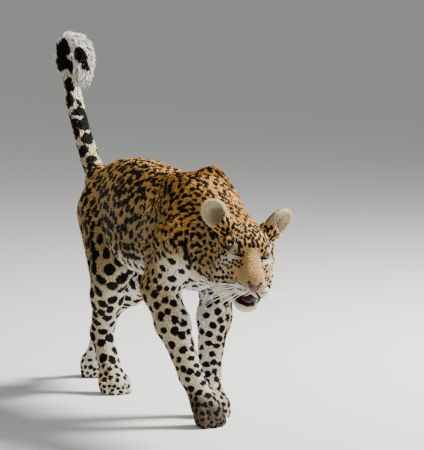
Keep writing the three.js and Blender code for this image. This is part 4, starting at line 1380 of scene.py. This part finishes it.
def whisker_tree():
    """Each point of the input carries one hair: a bent, tapering curve that is turned and sized by its own values."""
    tree = bpy.data.node_groups.new("whiskers", "GeometryNodeTree")
    socket = lambda name, kind, way="INPUT": tree.interface.new_socket(name, in_out=way, socket_type=kind)
    socket("Geometry", "NodeSocketGeometry", "OUTPUT")
    socket("Geometry", "NodeSocketGeometry")
    for name, value in (("Thickness", 0.004), ("Bend", 0.12), ("Unevenness", 0.1)):
        socket(name, "NodeSocketFloat").default_value = value
    socket("Seed", "NodeSocketInt").default_value = SEED
    socket("Material", "NodeSocketMaterial")
    given = node(tree, "NodeGroupInput").outputs
    aside = node(tree, "ShaderNodeCombineXYZ", {"X": given["Bend"], "Z": 1.0})
    hair = node(tree, "GeometryNodeCurveQuadraticBezier", {
        "Resolution": 10, "Start": (0, 0, 0), "Middle": (0, 0, 0.55), "End": aside.outputs[0]})
    factor = node(tree, "GeometryNodeSplineParameter")
    taper = node(tree, "ShaderNodeMapRange", {
        "Value": factor.outputs["Factor"], "To Min": given["Thickness"], "To Max": 0.003})
    ring = node(tree, "GeometryNodeCurvePrimitiveCircle", {"Resolution": 5, "Radius": 1.0})
    solid = node(tree, "GeometryNodeCurveToMesh", {"Curve": hair.outputs[0], "Profile Curve": ring.outputs[0],
                                                  "Scale": taper.outputs[0], "Fill Caps": True})
    turn = node(tree, "GeometryNodeInputNamedAttribute", {"Name": "turn"}, data_type="FLOAT_VECTOR")
    reach = node(tree, "GeometryNodeInputNamedAttribute", {"Name": "reach"}, data_type="FLOAT")
    low = node(tree, "ShaderNodeMath", {0: 1.0, 1: given["Unevenness"]}, operation="SUBTRACT")
    chance = node(tree, "FunctionNodeRandomValue", data_type="FLOAT")
    tree.links.new(low.outputs[0], chance.inputs[2])
    chance.inputs[3].default_value = 1.0
    tree.links.new(given["Seed"], chance.inputs["Seed"])
    size = node(tree, "ShaderNodeMath", {0: reach.outputs[0], 1: chance.outputs[1]}, operation="MULTIPLY")
    dots = node(tree, "GeometryNodeMeshToPoints", {"Mesh": given["Geometry"]})
    placed = node(tree, "GeometryNodeInstanceOnPoints", {"Points": dots.outputs[0], "Instance": solid.outputs[0],
                                                         "Rotation": turn.outputs[0], "Scale": size.outputs[0]})
    real = node(tree, "GeometryNodeRealizeInstances", {"Geometry": placed.outputs[0]})
    painted = node(tree, "GeometryNodeSetMaterial", {"Geometry": real.outputs[0], "Material": given["Material"]})
    out = node(tree, "NodeGroupOutput")
    tree.links.new(painted.outputs[0], out.inputs[0])
    return tree


def build_whiskers(thickness):
    rows = whisker_roots()
    place = settle(on_head(np.array([r[0] for r in rows])), lambda p: skin_field(p) + coat_depth(p), 6, 4.0)
    points = make_object("whiskers", place, [], smooth=False)
    turns, reaches = [], []
    for _, aim, reach in rows:
        z = Vector(aim @ AXES)
        x = Vector((0, 0, -1)) - z * Vector((0, 0, -1)).dot(z)
        x.normalize()
        y = z.cross(x)
        turns.append(Matrix((x, y, z)).transposed().to_euler())
        reaches.append(reach * MM)
    at = points.data.attributes.new("turn", "FLOAT_VECTOR", "POINT")
    at.data.foreach_set("vector", np.array([t[:] for t in turns], np.float32).ravel())
    store(points.data, "reach", "FLOAT", np.array(reaches))
    grow = points.modifiers.new("grow", "NODES")
    grow.node_group = whisker_tree()
    keys = {item.name: item.identifier for item in grow.node_group.interface.items_tree if item.in_out == "INPUT"}
    grow[keys["Thickness"]] = thickness
    grow[keys["Material"]] = material("whisker_hair", whisker_material)
    bpy.context.view_layer.update()
    made = bpy.data.meshes.new_from_object(points.evaluated_get(bpy.context.evaluated_depsgraph_get()))
    points.modifiers.clear()
    points.data = made
    made.shade_smooth()
    return points


def build_tongue():
    root, blade, tip = (on_head(c) for c in ((-2, 4, -108), (-4, 56, -111), (-4, 70, -114)))
    shapes = [cone(root, blade, 13, 12, 8), cone(blade, tip, 12, 9, 8)]

    def f(p):
        q = in_head(p)
        flat = np.abs(q[:, 2] + 109 + 0.06 * (q[:, 1] - 30)) - 3.0
        return smooth_max(field_of(shapes, p), flat, 4)

    points, quads = small_surface(f, on_head((-3, 36, -110)), 60, TONGUE_CELL)
    return make_object("tongue", points, outward(points, quads))


# ---------------------------------------------------------------- the operators and their panel
class LeopardSettings(bpy.types.PropertyGroup):
    whisker_thickness: bpy.props.FloatProperty(
        name="Whisker Thickness", description="Radius of a whisker at its root, as a share of its length",
        default=0.0085, min=0.001, max=0.02)
    lens: bpy.props.FloatProperty(
        name="Lens", description="Focal length of the camera", default=252.8, min=20.0, unit="CAMERA")
    key_power: bpy.props.FloatProperty(
        name="Key Light", description="Strength of the main light", default=760.0, min=0.0, unit="POWER")
    fill_power: bpy.props.FloatProperty(
        name="Fill Light", description="Strength of the frontal light", default=48.0, min=0.0, unit="POWER")


def settings():
    return bpy.context.scene.leopard


def ready(*names):
    missing = [name for name in names if name not in bpy.data.objects]
    if missing:
        raise RuntimeError(f"build {', '.join(missing)} first")
    return [bpy.data.objects[name] for name in names]


SPOTS = {}


class LEOPARD_OT_skin(bpy.types.Operator):
    """Build the skin over the whole animal"""
    bl_idname = "leopard.skin"
    bl_label = "Skin"

    def execute(self, context):
        skin = build_skin()
        mesh = skin.data
        p, n = body_points(mesh), body_normals(mesh)
        region = region_of(p)
        SPOTS["all"] = Spots(p, n)
        ground, black = coat_values(p, n, region, SPOTS["all"])
        q = in_head(p)
        bare = np.maximum(hairless(p, n), bare_nose(q))
        inside = mouth(q) < BARE_LIP
        ground[inside] = LIP
        under = pads(p, n)
        ground[under], black[under] = BLACK * 2, 5.0
        store(mesh, "ground", "FLOAT_COLOR", ground)
        store(mesh, "spot", "FLOAT", black)
        store(mesh, "bare", "FLOAT", bare.astype(float))
        mesh.materials.clear()
        mesh.materials.append(material("leopard_skin", skin_material))
        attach(skin, BODY)
        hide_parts(*FLESH)
        return {"FINISHED"}


class LEOPARD_OT_coat(bpy.types.Operator):
    """Lay the coat of tufts over the skin"""
    bl_idname = "leopard.coat"
    bl_label = "Coat"

    def execute(self, context):
        skin, = ready("skin")
        for piece in build_coat(skin, SPOTS["all"]):
            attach(piece, BODY)
        return {"FINISHED"}


class LEOPARD_OT_eyes(bpy.types.Operator):
    """Build both eyes"""
    bl_idname = "leopard.eyes"
    bl_label = "Eyes"

    def execute(self, context):
        for name, s in (("right_eye", -1), ("left_eye", 1)):
            eye = build_eye(f"{name}_ball", s)
            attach(eye, BODY)
            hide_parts(name)
        return {"FINISHED"}


class LEOPARD_OT_whiskers(bpy.types.Operator):
    """Grow the whiskers and the long hairs of the brow"""
    bl_idname = "leopard.whiskers"
    bl_label = "Whiskers"

    def execute(self, context):
        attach(build_whiskers(settings().whisker_thickness), BODY)
        return {"FINISHED"}


class LEOPARD_OT_tongue(bpy.types.Operator):
    """Lay the tongue in the open mouth"""
    bl_idname = "leopard.tongue"
    bl_label = "Tongue"

    def execute(self, context):
        tongue = build_tongue()
        tongue.data.materials.append(material("tongue_flesh", mouth_material))
        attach(tongue, BODY)
        return {"FINISHED"}


# metres from the body's own origin; the camera stands where the photograph was taken from
CAMERA_PLACE, CAMERA_TARGET = (-2.9785, -7.7666, 1.2725), (0.191, 0.0782, 0.4579)
LAMP_TARGET = (0, -0.1, 0.5)


def place_and_aim(obj, place, target):
    """Puts a camera or a lamp in the scene, turned to its target."""
    obj.location = place
    obj.rotation_mode = "QUATERNION"
    obj.rotation_quaternion = (target - place).to_track_quat("-Z", "Y")
    bpy.context.scene.collection.objects.link(obj)


class LEOPARD_OT_stage(bpy.types.Operator):
    """Set the floor, the camera and the lights"""
    bl_idname = "leopard.stage"
    bl_label = "Stage"

    def execute(self, context):
        scene = context.scene
        shift = Vector(OFFSET * MM)
        mesh = bpy.data.meshes.new("floor")
        mesh.from_pydata([(-30, -20, 0), (30, -20, 0), (30, 60, 0), (-30, 60, 0)], [], [(0, 1, 2, 3)])
        mesh.materials.append(material("studio_floor", floor_material))
        floor = bpy.data.objects.new("floor", mesh)
        scene.collection.objects.link(floor)
        camera = bpy.data.objects.new("camera", bpy.data.cameras.new("camera"))
        place_and_aim(camera, Vector(CAMERA_PLACE) + shift, Vector(CAMERA_TARGET) + shift)
        camera.data.lens = settings().lens
        camera.data.clip_end = 200.0
        scene.camera = camera
        key, fill = settings().key_power, settings().fill_power
        for name, power, size, place in (
                ("key", key, 1.2, (3.2, -0.2, 3.3)), ("fill", fill, 3.0, (-2.8, -4.6, 2.6)),
                ("side", fill * 0.6, 2.4, (3.2, -3.0, 1.8))):
            lamp = bpy.data.objects.new(name, bpy.data.lights.new(name, "AREA"))
            lamp.data.energy, lamp.data.size = power, size
            place_and_aim(lamp, Vector(place), Vector(LAMP_TARGET))
        world = bpy.data.worlds.new("studio")
        world.use_nodes = True
        world.node_tree.nodes["Background"].inputs["Color"].default_value = linear("#E9EBEE")
        world.node_tree.nodes["Background"].inputs["Strength"].default_value = 0.48
        scene.world = world
        return {"FINISHED"}


OPERATORS = (
    LEOPARD_OT_skin, LEOPARD_OT_coat, LEOPARD_OT_eyes, LEOPARD_OT_whiskers, LEOPARD_OT_tongue, LEOPARD_OT_stage)


class LEOPARD_PT_panel(bpy.types.Panel):
    """Buttons that build the leopard piece by piece"""
    bl_idname = "LEOPARD_PT_panel"
    bl_label = "Leopard"
    bl_space_type = "VIEW_3D"
    bl_region_type = "UI"
    bl_category = "Leopard"

    def draw(self, context):
        for name in LeopardSettings.__annotations__:
            self.layout.prop(context.scene.leopard, name)
        for operator in OPERATORS:
            self.layout.operator(operator.bl_idname)


CLASSES = (LeopardSettings, *OPERATORS, LEOPARD_PT_panel)


def register():
    for cls in CLASSES:
        bpy.utils.register_class(cls)
    bpy.types.Scene.leopard = bpy.props.PointerProperty(type=LeopardSettings)


def unregister():
    del bpy.types.Scene.leopard
    for cls in reversed(CLASSES):
        bpy.utils.unregister_class(cls)


def main():
    register()
    for operator in OPERATORS:
        getattr(bpy.ops.leopard, operator.bl_idname.split(".")[1])()


if __name__ == "__main__":
    main()
